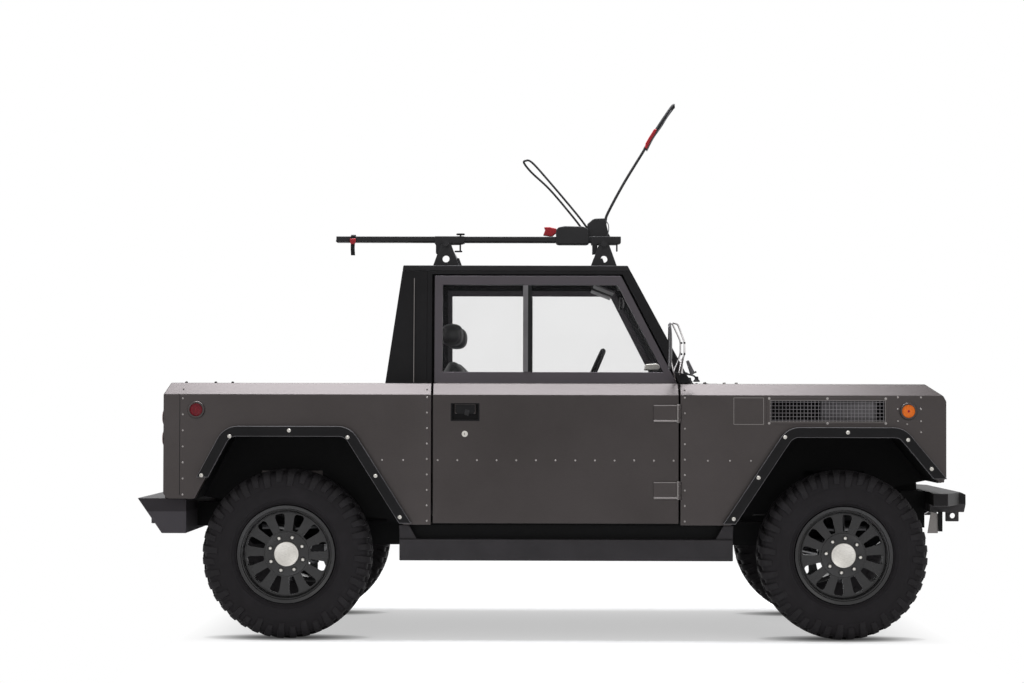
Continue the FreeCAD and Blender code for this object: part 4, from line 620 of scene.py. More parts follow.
FOLDS = {0.004: ["side_panel_right", "side_panel_left", "fender_right", "fender_left", "hood",
                 "front_panel", "tailgate", "rock_rails", "roof_panel"],
         0.003: ["door_right", "door_left", "arch_flares", "bumper_front", "bumper_rear", "skid_plate"],
         0.002: ["cab_pillars", "cab_rear_wall", "dashboard"]}
for radius, names in FOLDS.items():
    for node in names:
        rounded(node, radius)
print("folded panels", sum(len(names) for names in FOLDS.values()))

# %% [markdown]
# ## Mud tyres
# A mud tyre is a smooth bulging casing with thick lugs. The casing is its own section turned about
# the axle. A lug is a short bar that follows that section over the shoulder and a little way down the
# sidewall. Its cross-section is carried along the casing's line, so that it always stands square to
# the rubber. Forty of them go round each shoulder, and the middle has skewed blocks between them.

# %% Tyres
TYRE = 0.407
TREAD = TYRE - 0.0135
PITCHES = 40
# A bar's edges are chamfered, and its foot is sunk into the casing
CHAMFER, SUNK = 0.0028, -0.003
# The casing's half section: distance from the tyre's middle plane, and radius
CASING = [(0.0, TREAD), (0.055, TREAD - 0.0008), (0.098, TREAD - 0.003), (0.117, TREAD - 0.009),
          (0.127, 0.374), (0.1325, 0.358), (0.1365, 0.338), (0.1390, 0.316), (0.1395, 0.296),
          (0.1375, 0.276), (0.1325, 0.259), (0.1265, 0.2475), (0.1240, 0.2435), (0.1250, 0.2395),
          (0.1215, 0.2362), (0.1130, 0.2340), (0.1050, 0.2300)]
casing_line = smooth_line(CASING, 5)


def ring_line(line, radius, width, height):
    """Raise the section's line in a narrow round ring at one radius of the sidewall."""
    share = np.clip(1 - np.abs(line[:, 1] - radius) / width, 0, 1)
    raised = line.copy()
    raised[:, 0] += height * share * share * (3 - 2 * share) * (line[:, 0] > 0.11)
    return raised


def bars(stations, half_width, heights, skew):
    """Bars across the tread. stations are distances along the casing's line from its middle, and
    heights the bar's height there. Six points across make its section, with two chamfers. The bar's
    place along the tread shifts by skew times the distance from the first station."""
    steps = np.linalg.norm(np.diff(casing_line, axis=0), axis=1)
    length = np.concatenate([[0.0], np.cumsum(steps)])
    side = np.interp(stations, length, casing_line[:, 0])
    radius = np.interp(stations, length, casing_line[:, 1])
    slope = np.stack([np.gradient(casing_line[:, 0], length), np.gradient(casing_line[:, 1], length)], -1)
    along = np.stack([np.interp(stations, length, slope[:, i]) for i in (0, 1)], -1)
    along /= np.linalg.norm(along, axis=1, keepdims=True)
    outward = np.stack([-along[:, 1], along[:, 0]], -1)
    heights = np.asarray(heights)[:, None]
    half_width = np.broadcast_to(half_width, len(stations))[:, None]
    u = half_width * [[-1.0, -1.0, -1.0, 1.0, 1.0, 1.0]] + CHAMFER * np.array([[-0.7, 0, 1, -1, 0, 0.7]])
    foot = 0 * heights + SUNK
    h = np.hstack([foot, heights - CHAMFER, heights, heights, heights - CHAMFER, foot])
    h = np.maximum(h, SUNK)
    y = side[:, None] + outward[:, :1] * h
    r = radius[:, None] + outward[:, 1:] * h
    angle = (u + skew * (stations - stations[0])[:, None]) / TYRE
    return grid(np.stack([r * np.sin(angle), y, r * np.cos(angle)], -1), close_v=True, caps=("u",))

# %% Lugs and casing
long_lug = bars(np.array([0.062, 0.0625, 0.085, 0.105, 0.122, 0.136, 0.150, 0.166, 0.180, 0.1805]), 0.0180,
                [-0.003, 0.0135, 0.0135, 0.0135, 0.0134, 0.0120, 0.0098, 0.0066, 0.0030, -0.003], 0.10)
short_lug = bars(np.array([0.072, 0.0725, 0.090, 0.105, 0.122, 0.136, 0.150, 0.162, 0.1625]), 0.0165,
                 [-0.003, 0.0130, 0.0130, 0.0130, 0.0126, 0.0108, 0.0080, 0.0040, -0.003], 0.10)
block = bars(np.array([0.004, 0.0045, 0.022, 0.040, 0.054, 0.0545]),
             [0.0205, 0.0205, 0.0205, 0.016, 0.013, 0.013],
             [-0.003, 0.0135, 0.0135, 0.0135, 0.0135, -0.003], 0.45)
origin = (0.0, 0.0, 0.0)
half_pitch = math.pi / PITCHES
# Long and short lugs by turns, and the middle's blocks between them
shoulder_ring = (long_lug.copies(turns(PITCHES // 2, origin))
                 + short_lug.copies(turns(PITCHES // 2, origin, 2 * half_pitch)))
middle_ring = block.copies(turns(PITCHES, origin, half_pitch))
sidewall = casing_line
for radius, width, height in ((0.3215, 0.0035, 0.0016), (0.3125, 0.0025, 0.0010), (0.262, 0.004, 0.0018)):
    sidewall = ring_line(sidewall, radius, width, height)
half = np.vstack([sidewall, [(0.103, 0.2275), (0.098, 0.2235)]])
section = np.vstack([half[::-1] * (-1, 1), half[1:]])[:, ::-1]
rubber_tyre = lathe(section, 160, closed=True)
near_half = shoulder_ring + middle_ring
far_half = Shape(near_half.points * (-1.0, -1.0, 1.0), near_half.corners, near_half.counts)
lugs = near_half + far_half.copies(turns(1, origin, half_pitch))
print("casing and lug quads", len(rubber_tyre.counts), len(lugs.counts))

# %% The four tyres
WHEELS = {f"{end}_{flank}": (axle, sign) for end, axle in (("rear", rear_axle), ("front", front_axle))
          for flank, sign in (("right", -1.0), ("left", 1.0))}
wheel_side = (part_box("tyre_rear_left")[0].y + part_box("tyre_rear_left")[1].y) / 2
for name, (axle, sign) in WHEELS.items():
    centre = (axle, sign * wheel_side, axle_level)
    placed = rubber_tyre.copies(spots([centre]))
    build(f"tyre_{name}_casing", placed, "tyre_rubber", f"wheel_{name}", smooth=38.0,
          replaces=(f"tyre_{name}",))
    build(f"tyre_{name}_lugs", lugs.copies(spots([centre])), "tread_rubber", f"wheel_{name}",
          slot="tyre_rubber", smooth=38.0)
print("tyres", list(WHEELS))

# %% [markdown]
# ## Wheels
# The wheel is a dished steel disc in a deep barrel. Its section, turned about the axle, gives the
# flange, the step inside it and the barrel. The disc itself is one ring from the hub to the barrel
# with twelve tapered windows. It is a grid in polar coordinates: each twelfth runs from the middle of
# one spoke to the next, and the columns beside a window bend to its edges.

# %% Wheels
WINDOWS, NUTS, NUT_CIRCLE = 12, 8, 0.0825
HALF_WIDTH, FLANGE_IN, DISC_IN, DISC_THICK = 0.1425, 0.006, 0.062, 0.013
HUB_EDGE, WINDOW_LOW, WINDOW_HIGH, DISC_EDGE = 0.1085, 0.1125, 0.1945, 0.199
disc_face = wheel_side + HALF_WIDTH - DISC_IN
rim_outer = wheel_side + HALF_WIDTH - FLANGE_IN
rim_inner = wheel_side - HALF_WIDTH + FLANGE_IN


def from_plane(plane, section):
    """The section's pairs of a radius and a distance, with the distance measured from a plane."""
    return [(radius, plane + out) for radius, out in section]


# The barrel's section, from the disc outwards over the flange and back to the disc behind
barrel = smooth_line(from_plane(disc_face, [(0.199, -0.001), (0.2035, 0.003), (0.2055, 0.012)])
                     + from_plane(rim_outer, [(0.2070, -0.026), (0.2095, -0.018), (0.2160, -0.012),
                                              (0.2175, -0.006), (0.2215, -0.0035), (0.2285, -0.0015),
                                              (0.2330, -0.0005), (0.2340, -0.003), (0.2335, -0.008)]), 4)
inner_way = (from_plane(rim_outer, [(0.2220, -0.010)])
             + from_plane(rim_inner, [(0.2220, 0.010), (0.2335, 0.008), (0.2340, 0.001), (0.2280, 0.0),
                                      (0.2110, 0.006)])
             + from_plane(disc_face, [(0.2110, -0.030), (0.199, -0.017)]))
hub = from_plane(disc_face, [(0.0, 0.0105), (0.0575, 0.0105), (0.0575, 0.0120), (0.1030, 0.0120),
                             (0.1052, 0.0112), (0.1060, 0.0085), (0.1066, 0.001), (HUB_EDGE, 0.0)])
hub_back = from_plane(disc_face, [(HUB_EDGE, -DISC_THICK), (0.0, -DISC_THICK)])
print("barrel between", round(rim_inner, 3), "and", round(rim_outer, 3))


# %% Wheel disc
def window_disc():
    """A polar grid of the spoked ring. Columns are angles across one twelfth, rows radii, and inside
    a window's rows the middle columns are left out. Front and back are joined round the windows."""
    rows = WINDOW_LOW + (WINDOW_HIGH - WINDOW_LOW) * np.array([0.06, 0.14, 0.5, 0.8, 0.9, 0.96])
    radii = np.concatenate([[HUB_EDGE, WINDOW_LOW], rows, [WINDOW_HIGH, DISC_EDGE]])
    reach = np.array([0.0128, 0.0095, 0.0118, 0.0135, 0.0185, 0.0232, 0.0222, 0.0196, 0.0150, 0.0150])
    step = 2 * math.pi / WINDOWS
    edge = np.minimum(reach / radii, 0.42 * step)
    angle = np.stack([-0.5 * step + 0 * edge, -edge, 0 * edge, edge, 0.5 * step + 0 * edge], -1)
    front = np.stack([radii[:, None] * np.sin(angle), 0 * angle + disc_face,
                      radii[:, None] * np.cos(angle)], -1)
    back = front - (0.0, DISC_THICK, 0.0)
    rows, width = angle.shape
    number = np.arange(rows * width).reshape(rows, width)
    quads = np.stack([number[:-1, :-1], number[1:, :-1], number[1:, 1:], number[:-1, 1:]], -1)
    solid = np.ones((rows - 1, width - 1), bool)
    solid[1:-1, 1:3] = False
    shift = rows * width
    faces = [quads[solid], quads[solid][:, ::-1] + shift]
    loop = np.concatenate([number[1:-1, 1], [number[-2, 2]], number[1:-1, 3][::-1], [number[1, 2]]])
    ahead = np.roll(loop, -1)
    faces.append(np.stack([loop, ahead, ahead + shift, loop + shift], -1))
    quads = np.vstack(faces)
    return Shape(np.vstack([front.reshape(-1, 3), back.reshape(-1, 3)]), quads.ravel(),
                 np.full(len(quads), 4))

# %% The four wheels
disc = window_disc().copies(turns(WINDOWS, origin))
barrel_ring = lathe(np.vstack([barrel, inner_way]), 128)
hub_face = lathe(hub, 96) + lathe(hub_back, 96)
one_rim = disc + barrel_ring + hub_face
# A wheel nut is a six-sided prism with a domed end: its profile is turned in six steps
nut = lathe([(0.0095, 0.0), (0.0095, 0.009), (0.0075, 0.0135), (0.004, 0.0155), (0.0, 0.016)], 6,
            (0.0, disc_face + 0.0115, NUT_CIRCLE))
seat = lathe([(0.0150, 0.0), (0.0145, 0.0012), (0.0120, 0.0015), (0.0112, -0.0005)], 24,
             (0.0, disc_face + 0.0120, NUT_CIRCLE))
cap = lathe([(0.0590, 0.0), (0.0590, 0.0180), (0.0578, 0.0205), (0.0545, 0.0216), (0.0505, 0.0208),
             (0.0480, 0.0196), (0.0, 0.0200)], 96, (0.0, disc_face + 0.0105, 0.0))
REAR_TURN, FRONT_TURN = 0.33, 0.11
for name, (axle, sign) in WHEELS.items():
    lift = spots([(axle, 0.0, axle_level)])
    start = FRONT_TURN if name.startswith("front") else REAR_TURN
    round_axle = lift @ turns(NUTS, origin, start)
    rim = one_rim.copies(lift @ turns(1, origin, start)).mirrored(sign)
    build(f"rim_{name}_spoked", rim, "wheel_black", f"wheel_{name}", smooth=30.0, replaces=(f"rim_{name}",))
    build(f"rim_{name}_nut_seats", seat.copies(round_axle).mirrored(sign), "wheel_black", f"wheel_{name}")
    bright = nut.copies(round_axle) + cap.copies(lift)
    build(f"rim_{name}_nuts_and_cap", bright.mirrored(sign), "bright_steel", f"wheel_{name}",
          slot="wheel_black", smooth=28.0)
print("wheel quads", len(one_rim.counts))

# %% [markdown]
# ## Rivets and bolts
# The panels are riveted to the frame inside. The rows are measured from the photograph, as distances
# from the middle of the wheelbase and heights. A rivet is a low dome, turned from a quarter of an
# ellipse, and a row is one shape repeated by an array of shifts. The flares are held by bright
# button-head bolts with a six-sided socket.


# %% Rivets
def on_side(places, offset=0.0):
    """Distances from the middle of the wheelbase and heights, on the right body side."""
    places = np.asarray(places, float).reshape(-1, 2)
    return np.stack([middle + places[:, 0], np.full(len(places), body_side + offset), places[:, 1]], -1)


def dome(radius, height, sides=14, rings=4):
    """A quarter ellipse turned about Y, bulging to the right."""
    angle = np.linspace(0, math.pi / 2, rings)
    profile = np.stack([radius * np.cos(angle), -height * np.sin(angle)], -1)
    return lathe(np.vstack([[radius, 0.0006], profile]), sides)


def column(place, levels):
    """The same place at each of the levels."""
    return [(place, level) for level in levels]


body_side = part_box("side_panel_right")[0].y
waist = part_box("side_panel_right")[1].z - 0.056
CORNER, CAB, FENDER = -1.8258, -0.6593, 0.5713
BELT, SHOULDER = 0.860, 0.0255
tall_column = 0.5705 + 0.0737 * np.arange(9)
panel_rows = {
    "side_panel": column(CORNER, 0.6924 + 0.0766 * np.arange(7)) + column(CAB, tall_column)
    + [(-0.8737, BELT), (-0.7727, BELT)],
    "fender": column(FENDER, tall_column) + [(place, BELT) for place in (0.6813, 0.7866, 0.8866)]
    + [(1.5862, 1.1640), (1.6960, 1.1640), (1.5862, 1.1083), (1.6960, 1.1083), (1.5862, 1.0509),
       (1.6960, 1.0509), (1.6300, 1.0365), (1.6960, 0.9982)],
    "door": [(-0.6077 + 0.0938 * step, BELT) for step in range(13)]}
# One more rivet lies on the folded shoulder above each tall column, at 45 degrees
on_shoulder = {"side_panel": (CORNER, CAB), "fender": (FENDER,), "door": ()}
half_right = np.array([[1, 0, 0, 0], [0, 0.7071, -0.7071, 0], [0, 0.7071, 0.7071, 0], [0, 0, 0, 1.0]])
rivet = dome(0.0048, 0.0022)
for panel, places in panel_rows.items():
    heads = rivet.copies(spots(on_side(places)))
    if on_shoulder[panel]:
        folded = [(middle + place, body_side + SHOULDER, waist + SHOULDER) for place in on_shoulder[panel]]
        heads = heads + rivet.copies(spots(folded) @ half_right)
    both(f"rivets_{panel}", heads, "rivet_paint", body="door" if panel == "door" else "body",
         slot="body_paint", smooth=60.0)
print("rivets on one side", sum(len(places) for table in (panel_rows, on_shoulder)
                                for places in table.values()))

# %% Flare bolts
flare_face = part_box("arch_flares")[0].y
# Distances from the axle and heights, at the rear and at the front
REAR_BOLTS = ((-0.3985, 0.7855), (-0.2650, 0.9720), (0.0187, 1.0), (0.2980, 0.9680), (0.4315, 0.7852),
              (0.5478, 0.5890))
FRONT_BOLTS = ((-0.5316, 0.5844), (-0.4138, 0.7804), (-0.2879, 0.9740), (0.0105, 0.9967), (0.2960, 0.9620),
               (0.4080, 0.8245))
HALF_BASE = 1.3335
bolt_places = ([(-HALF_BASE + x, z) for x, z in REAR_BOLTS] + [(HALF_BASE + x, z) for x, z in FRONT_BOLTS])
head_profile = [(0.0070, 0.0010), (0.0072, -0.0010), (0.0064, -0.0030), (0.0048, -0.0042),
                (0.0034, -0.0044)]
button = lathe(head_profile, 20) + lathe([(0.0034, -0.0044), (0.0030, -0.0020), (0.0, -0.0018)], 6)
washer = lathe([(0.0092, 0.0006), (0.0092, -0.0008), (0.0086, -0.0013), (0.0060, -0.0013)], 24)
bolts = (button + washer).copies(spots(on_side(bolt_places, flare_face - body_side)))
both("flare_bolts", bolts, "bright_steel", slot="black_trim", smooth=35.0)
print("flare bolts", len(bolt_places))

# %% [markdown]
# ## Door furniture
# Each door has two strap hinges on a rolled knuckle, a recessed pull handle and a lock barrel. A strap
# is a thin plate with one long edge rolled down, so that it casts the narrow light and dark lines that
# the photograph shows. The rolls and pins are in a light metal finish, a painted highlight.


# %% Hinges and lock
def strap(low, high):
    """A hinge strap on the door between two heights: its sheet, and the rolls along its two edges."""
    back, front = door_line - 0.132, door_line - 0.018
    sheet = brick((back, body_side - 0.0090, low + 0.004), (front, body_side - 0.0060, high))
    roll, rim = (tube([(back, body_side - out, level), (front, body_side - out, level)], radius, sides,
                      up=(0, 0, 1))
                 for out, level, radius, sides in ((0.0080, low + 0.005, 0.0058, 12),
                                                   (0.0085, high - 0.002, 0.0026, 8)))
    return sheet, roll + rim


def barrel_pin(low, high):
    """A hinge's pin between two heights, with a small chamfer at both ends."""
    return lathe([(0.0, low), (0.0062, low), (0.0072, low + 0.001), (0.0072, high - 0.001), (0.0062, high),
                  (0.0, high)], 20)


door_low, door_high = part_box("door_right")
door_line = door_high.x
straps = zip(strap(1.0440, 1.1250), strap(0.6770, 0.7580))
sheets, rolls = (upper + lower for upper, lower in straps)
pins = (barrel_pin(1.0400, 1.1290) + barrel_pin(0.6730, 0.7620)).copies([UPRIGHT])
pins = pins.copies(spots([(door_line - 0.0155, body_side - 0.0085, 0.0)]))
both("hinge_straps", sheets, "body_paint", body="door", bevel=0.001)
# The rolls and pins in the light metal finish are a painted highlight
both("hinge_rolls", rolls + pins, "worn_paint_and_painted_highlight", body="door", slot="body_paint", smooth=40.0)

lock_place = on_side([(-0.4785, 0.9855)])[0]
lock = lathe([(0.0145, 0.0006), (0.0145, -0.0016), (0.0130, -0.0026), (0.0112, -0.0026), (0.0106, -0.0014),
              (0.0, -0.0010)], 28, lock_place)
keyhole = brick(lock_place + (-0.0012, -0.0014, -0.0060), lock_place + (0.0012, -0.0004, 0.0060))
both("lock", lock, "bright_steel", body="door", slot="running_steel", smooth=30.0)
both("lock_slot", keyhole, "cabin_trim", body="door", bevel=0.0003)
print("door gap at", round(door_line, 4))


# %% Door handle
def frame_plate(outer, inner, near, far):
    """A flat rectangular frame: outer and inner corners (x0, z0, x1, z1), from near to far along Y."""
    rings = []
    for (x0, z0, x1, z1), level in ((outer, far), (outer, near), (inner, near), (inner, far)):
        rings.append([(x0, level, z0), (x1, level, z0), (x1, level, z1), (x0, level, z1)])
    return grid(np.array(rings, float), close_u=True, close_v=True)


def widened(box, step):
    """The box (x0, z0, x1, z1) with each edge moved outwards by a step."""
    x0, z0, x1, z1 = box
    return (x0 - step, z0 - step, x1 + step, z1 + step)


def by_handle(points):
    """Distances from the recess's rear lower corner, made X and Z."""
    return [(recess_back + x, recess_low + z) for x, z in points]


recess_back = door_low.x + 0.0895
recess_low, recess_high = waist - 0.120, waist - 0.043
recess_box = (recess_back + 0.002, recess_low + 0.002, recess_back + 0.127, recess_high - 0.002)
recess = brick((recess_box[0], body_side + 0.0215, recess_box[1]),
               (recess_box[2], body_side + 0.0265, recess_box[3]))
lip = frame_plate(widened(recess_box, 0.006), recess_box, body_side - 0.0016, body_side + 0.0200)
paddle = plate(by_handle([(0.018, 0.073), (0.018, 0.040), (0.026, 0.030), (0.104, 0.030), (0.112, 0.040),
                          (0.112, 0.073)]), body_side - 0.0008, body_side + 0.0040)
latch = plate(by_handle([(0.060, 0.026), (0.080, 0.020), (0.086, 0.046), (0.066, 0.052)]),
              body_side - 0.0018, body_side + 0.0020)
both("handle_recess", recess + lip, "black_trim", body="door", slot="black_trim", smooth=30.0)
both("handle_paddle", paddle, "cabin_trim", body="door", bevel=0.0015)
both("handle_latch", latch, "tube_coat", body="door", slot="black_trim", bevel=0.001)
print("recess from", round(recess_back, 4))

# %% [markdown]
# ## Grilles, covers and side lamps
# The side grille is a flat frame with six screws round a fine wire mesh. Beside it a plain cover closes
# the charging port, a thin plate with a narrow gap round it. The side lamps sit in turned rings.


# %% Side grille and cover
def side_box(x0, z0, x1, z1):
    """A rectangle on the body side, with X from the middle of the wheelbase."""
    return (middle + x0, z0, middle + x1, z1)


def wire_mesh(box, level, pitch, radius):
    """Round wires along X and Z that fill a rectangle, one crossing just behind the other."""
    x0, z0, x1, z1 = box
    xs = np.arange(x0 + pitch / 2, x1, pitch)
    zs = np.arange(z0 + pitch / 2, z1, pitch)
    upright = tube([(0, 0, z0), (0, 0, z1)], radius, 6)
    level_wire = tube([(x0, 0, 0), (x1, 0, 0)], radius, 6)
    return (upright.copies(spots([(x, level, 0) for x in xs]))
            + level_wire.copies(spots([(0, level + 1.6 * radius, z) for z in zs])))


def duct_wall(box):
    """The sheet behind the mesh, between two shares of the opening's length. Its depth is a parabola
    of that share."""
    way = np.linspace(0.0, 1.0, 13)[:, None]
    level = np.linspace(box[1] - 0.004, box[3] + 0.004, 5)[None]
    x = box[0] + (box[2] - box[0]) * (0.45 + 0.47 * way)
    y = body_side + 0.018 + 0.055 * (1 - way) ** 2
    return grid(np.stack([x + 0 * level, y + 0 * level, level + 0 * x], -1))


grille_box = side_box(0.9610, 1.0340, 1.5400, 1.1630)
opening_box = side_box(0.9765, 1.0455, 1.5270, 1.1500)
surround = frame_plate(grille_box, opening_box, body_side - 0.0026, body_side + 0.001)
border = frame_plate(opening_box, widened(opening_box, -0.0026), body_side - 0.0028, body_side + 0.0035)
screw = dome(0.0042, 0.0022, 12, 3) + lathe([(0.0062, 0.0004), (0.0060, -0.0007), (0.0036, -0.0008)], 12)
screws = screw.copies(spots([(x, body_side - 0.0024, z)
                             for x in np.linspace(grille_box[0] + 0.012, grille_box[2] - 0.012, 3)
                             for z in (grille_box[1] + 0.0055, grille_box[3] - 0.0055)]))
mesh = wire_mesh(opening_box, body_side + 0.0040, 0.0172, 0.0013)
both("grille_frame", surround, "body_paint", bevel=0.0008)
# The border round the opening is a painted highlight on its edge, in the light metal finish
both("grille_border", border, "worn_paint_and_painted_highlight", slot="body_paint", smooth=20.0)
both("grille_screws", screws, "rivet_paint", slot="body_paint", smooth=50.0)
both("grille_mesh", mesh, "mesh_wire", slot="frame_black", smooth=60.0, replaces=("grilles",))
for lining in both("grille_duct", duct_wall(opening_box), "duct_grey", slot="black_trim", smooth=60.0):
    lining.modifiers.new("wall", "SOLIDIFY").thickness = 0.002

cover_box = side_box(0.8060, 1.0350, 0.9450, 1.1590)
cover = brick((cover_box[0], body_side - 0.0012, cover_box[1]),
              (cover_box[2], body_side + 0.001, cover_box[3]))
groove = frame_plate(widened(cover_box, 0.0026), cover_box, body_side - 0.0014, body_side + 0.001)
build("port_cover_right", cover, "body_paint", bevel=0.0008)
# The groove round the cover is a painted highlight, in the light metal finish
build("port_groove_right", groove, "worn_paint_and_painted_highlight", slot="body_paint", smooth=20.0)
print("mesh wires", len(mesh.counts) // 8)


# %% Side lamps
def lamp_ring(centre, radius):
    """A turned ring with a rolled lip round a lens."""
    profile = [(radius, 0.0010), (radius + 0.0095, 0.0010), (radius + 0.0100, -0.0040),
               (radius + 0.0080, -0.0068), (radius + 0.0040, -0.0080), (radius + 0.0006, -0.0062),
               (radius, -0.0030)]
    return lathe(profile, 40, centre)


def ribbed_lens(centre, radius):
    """A low dome with concentric ridges: a quarter ellipse plus a small sine of the radius."""
    share = np.linspace(1.0, 0.0, 26)
    along = -LENS_HEIGHT * np.sqrt(1 - share**2) - 0.0006 * np.sin(share * 34)
    profile = np.stack([radius * share, along], -1)
    return lathe(np.vstack([[radius, 0.002], profile]), 40, centre)


def lens_stud(centre):
    """The low screw head in a lens's middle."""
    return lathe([(0.0062, -LENS_HEIGHT - 0.0002), (0.0060, -LENS_HEIGHT - 0.0014),
                  (0.0045, -LENS_HEIGHT - 0.0020), (0.0, -LENS_HEIGHT - 0.0022)], 20, centre)


LENS_RADIUS, LENS_HEIGHT = 0.031, 0.006
amber_low, amber_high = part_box("lamps_amber")
red_low, red_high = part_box("lamps_red")
amber_centre = ((amber_low.x + amber_high.x) / 2, amber_low.y, (amber_low.z + amber_high.z) / 2)
red_centre = (red_high.x - LENS_RADIUS, red_low.y, amber_centre[2])
rings = lamp_ring(amber_centre, LENS_RADIUS) + lamp_ring(red_centre, LENS_RADIUS)
both("side_lamp_rings", rings, "body_paint", smooth=35.0)
both("amber_lens", ribbed_lens(amber_centre, LENS_RADIUS), "lamp_amber", smooth=60.0)
both("amber_stud", lens_stud(amber_centre), "red_plastic", slot="lamp_amber", smooth=60.0)
both("red_lens", ribbed_lens(red_centre, LENS_RADIUS), "lamp_red", smooth=60.0)
print("side lamps", [round(v, 3) for v in amber_centre], [round(v, 3) for v in red_centre])

# %% [markdown]
# ## Mirrors
# Each mirror is a plate held in a loop of bent tube that stands on the cowl. The loop is one closed
# path of straight runs with round corners, and a second short bar runs down its front. The glass is
# a thin silvered plate with its own bright finish, in a shallow black tray.


# %% Rounded paths and domed plates
def rounded_path(points, radius, steps=5):
    """Straight runs whose corners are parabolas that start and end radius before and after them."""
    points = np.asarray(points, float)
    back, ahead = np.roll(points, 1, 0) - points, np.roll(points, -1, 0) - points
    reach_back, reach_ahead = (np.linalg.norm(way, axis=1, keepdims=True) for way in (back, ahead))
    start = points + back / reach_back * np.minimum(radius, reach_back * 0.45)
    end = points + ahead / reach_ahead * np.minimum(radius, reach_ahead * 0.45)
    share = np.linspace(0.0, 1.0, steps)[None, :, None]
    arc = ((1 - share) ** 2 * start[:, None] + 2 * share * (1 - share) * points[:, None]
           + share**2 * end[:, None])
    return np.vstack([points[:1], arc[1:-1].reshape(-1, 3), points[-1:]])


def pillow(width, height, depth, power=5.0):
    """A rounded rectangle that domes towards +X: a superellipse, drawn in towards its rim."""
    angle = np.arange(56) / 56 * 2 * math.pi
    c, s = np.cos(angle), np.sin(angle)
    reach = (np.abs(c) ** power + np.abs(s) ** power) ** (-1 / power)
    lift = np.linspace(0, math.pi / 2, 7)[:, None]
    y, z = np.sin(lift) * reach * c * width / 2, np.sin(lift) * reach * s * height / 2
    return np.stack([np.broadcast_to(depth * np.cos(lift), y.shape), y, z], -1)


def backed(dome_grid, centre, rim=(1, 1, 1), step=(0, 0, 0)):
    """Close a dome with one more ring, its rim scaled and moved by a step, and put it in its place."""
    return grid(np.concatenate([dome_grid, dome_grid[-1:] * rim + step]) + centre, close_v=True,
                caps=("u",))


print("path helpers ready")


# %% Mirrors
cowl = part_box("mirrors")[0].z
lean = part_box("mirrors")[0].x + 0.052


def by_loop(points):
    """Places given by X from the loop's leaning tube, perhaps Y, and the height over the cowl."""
    return [(lean + point[0], *point[1:-1], cowl + point[-1]) for point in points]


# The loop runs from its foot round the plate's far edge and down behind the plate
loop = by_loop([(-0.022, -0.900, 0.020), (-0.036, -0.945, 0.060), (-0.005, -0.985, 0.141),
                (-0.005, -0.985, 0.203), (-0.047, -0.990, 0.292), (-0.054, -0.975, 0.278),
                (-0.050, -0.950, 0.120), (-0.026, -0.900, 0.024)])
brace = by_loop([(-0.042, -0.994, 0.290), (-0.018, -1.000, 0.283), (0.007, -1.010, 0.214),
                 (0.013, -1.015, 0.194), (0.013, -1.015, 0.141), (0.008, -1.000, 0.125),
                 (-0.006, -0.905, 0.036)])
tubes = (tube(rounded_path(loop, 0.014, 6), 0.0040, 12, up=(0.3, 0.9, 0.1))
         + tube(rounded_path(brace, 0.010), 0.0045, 10, up=(0.3, 0.9, 0.1)))
web = plate(by_loop([(0.002, 0.122), (0.010, 0.122), (0.012, 0.040), (-0.014, 0.040)]), -0.912, -0.902)
foot = plate(by_loop([(-0.008, 0.001), (0.062, 0.001), (0.060, 0.004), (0.046, 0.006), (0.024, 0.048),
                      (-0.029, 0.055), (-0.027, 0.045)]), -0.915, -0.878)
low_plate = plate(by_loop([(0.022, 0.108), (0.031, 0.112), (0.062, 0.050), (0.044, 0.039)]), -1.045, -0.960)
WIDE, TALL, DEEP = 0.150, 0.225, 0.013
tray_centre = np.array([lean - 0.058, -1.000, cowl + 0.178])
mirror_shell = backed(pillow(WIDE, TALL, DEEP), tray_centre, (1, 0.94, 0.95), (-0.004, 0, 0))
mirror_glass = backed(pillow(WIDE * 0.90, TALL * 0.92, -0.0025), tray_centre - (0.0035, 0, 0),
                      step=(0.003, 0, 0))
stud = lathe([(0.0050, 0.0), (0.0050, 0.004), (0.0035, 0.006), (0.0, 0.0065)], 14)
studs = stud.copies(spots(by_loop([(0.0, 0.988, 0.194), (0.0, 0.988, 0.141), (0.013, 1.018, 0.194),
                                   (0.013, 1.018, 0.141), (0.064, 1.040, 0.055)])))
both("mirror_loop", tubes, "polished_tube", slot="black_trim", replaces=("mirrors",))
both("mirror_web", web, "polished_tube", slot="black_trim", bevel=0.001)
both("mirror_foot", foot, "black_trim", bevel=0.002)
both("mirror_low_plate", low_plate, "edge_light", slot="black_trim", bevel=0.003)
both("mirror_shell", mirror_shell, "edge_light", slot="black_trim")
both("mirror_glass", mirror_glass, "silvered_glass", slot="clear_glass")
both("mirror_studs", studs.mirrored(), "tube_coat", slot="black_trim")
print("mirrors at", round(lean, 3))

# %% [markdown]
# ## Cycle carrier
# A tube tray is clamped to both roof bars. At its front end a housing carries two folding arms, and
# at its rear end a strap with a red buckle. The arms are thin bent tubes: the long one is cranked where
# it leaves the junction, and the short one is a narrow loop of wire that tapers to its tip.

# %% Cycle carrier's tray
TRAY_Y = -0.540
carrier_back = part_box("cycle_carrier")[0].x
bars_low, bars_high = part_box("roof_crossbars")
front_bar, rear_bar = bars_high.x - 0.063, bars_low.x + 0.063
tray_base = bars_high.z + 0.0003
tray_top = tray_base + 0.028


def by_bar(points):
    """Distances ahead of the front bar, perhaps beside the tray's middle, and above its underside."""
    points = np.asarray(points, float)
    shift = points[:, 1] if points.shape[1] == 3 else np.zeros(len(points))
    return np.stack([front_bar + points[:, 0], TRAY_Y + shift, tray_base + points[:, -1]], -1)


def block_by_bar(outline, half):
    """A plate over the tray's middle, from an outline by the front bar and half its thickness."""
    return plate(by_bar(outline)[:, ::2], TRAY_Y - half, TRAY_Y + half)


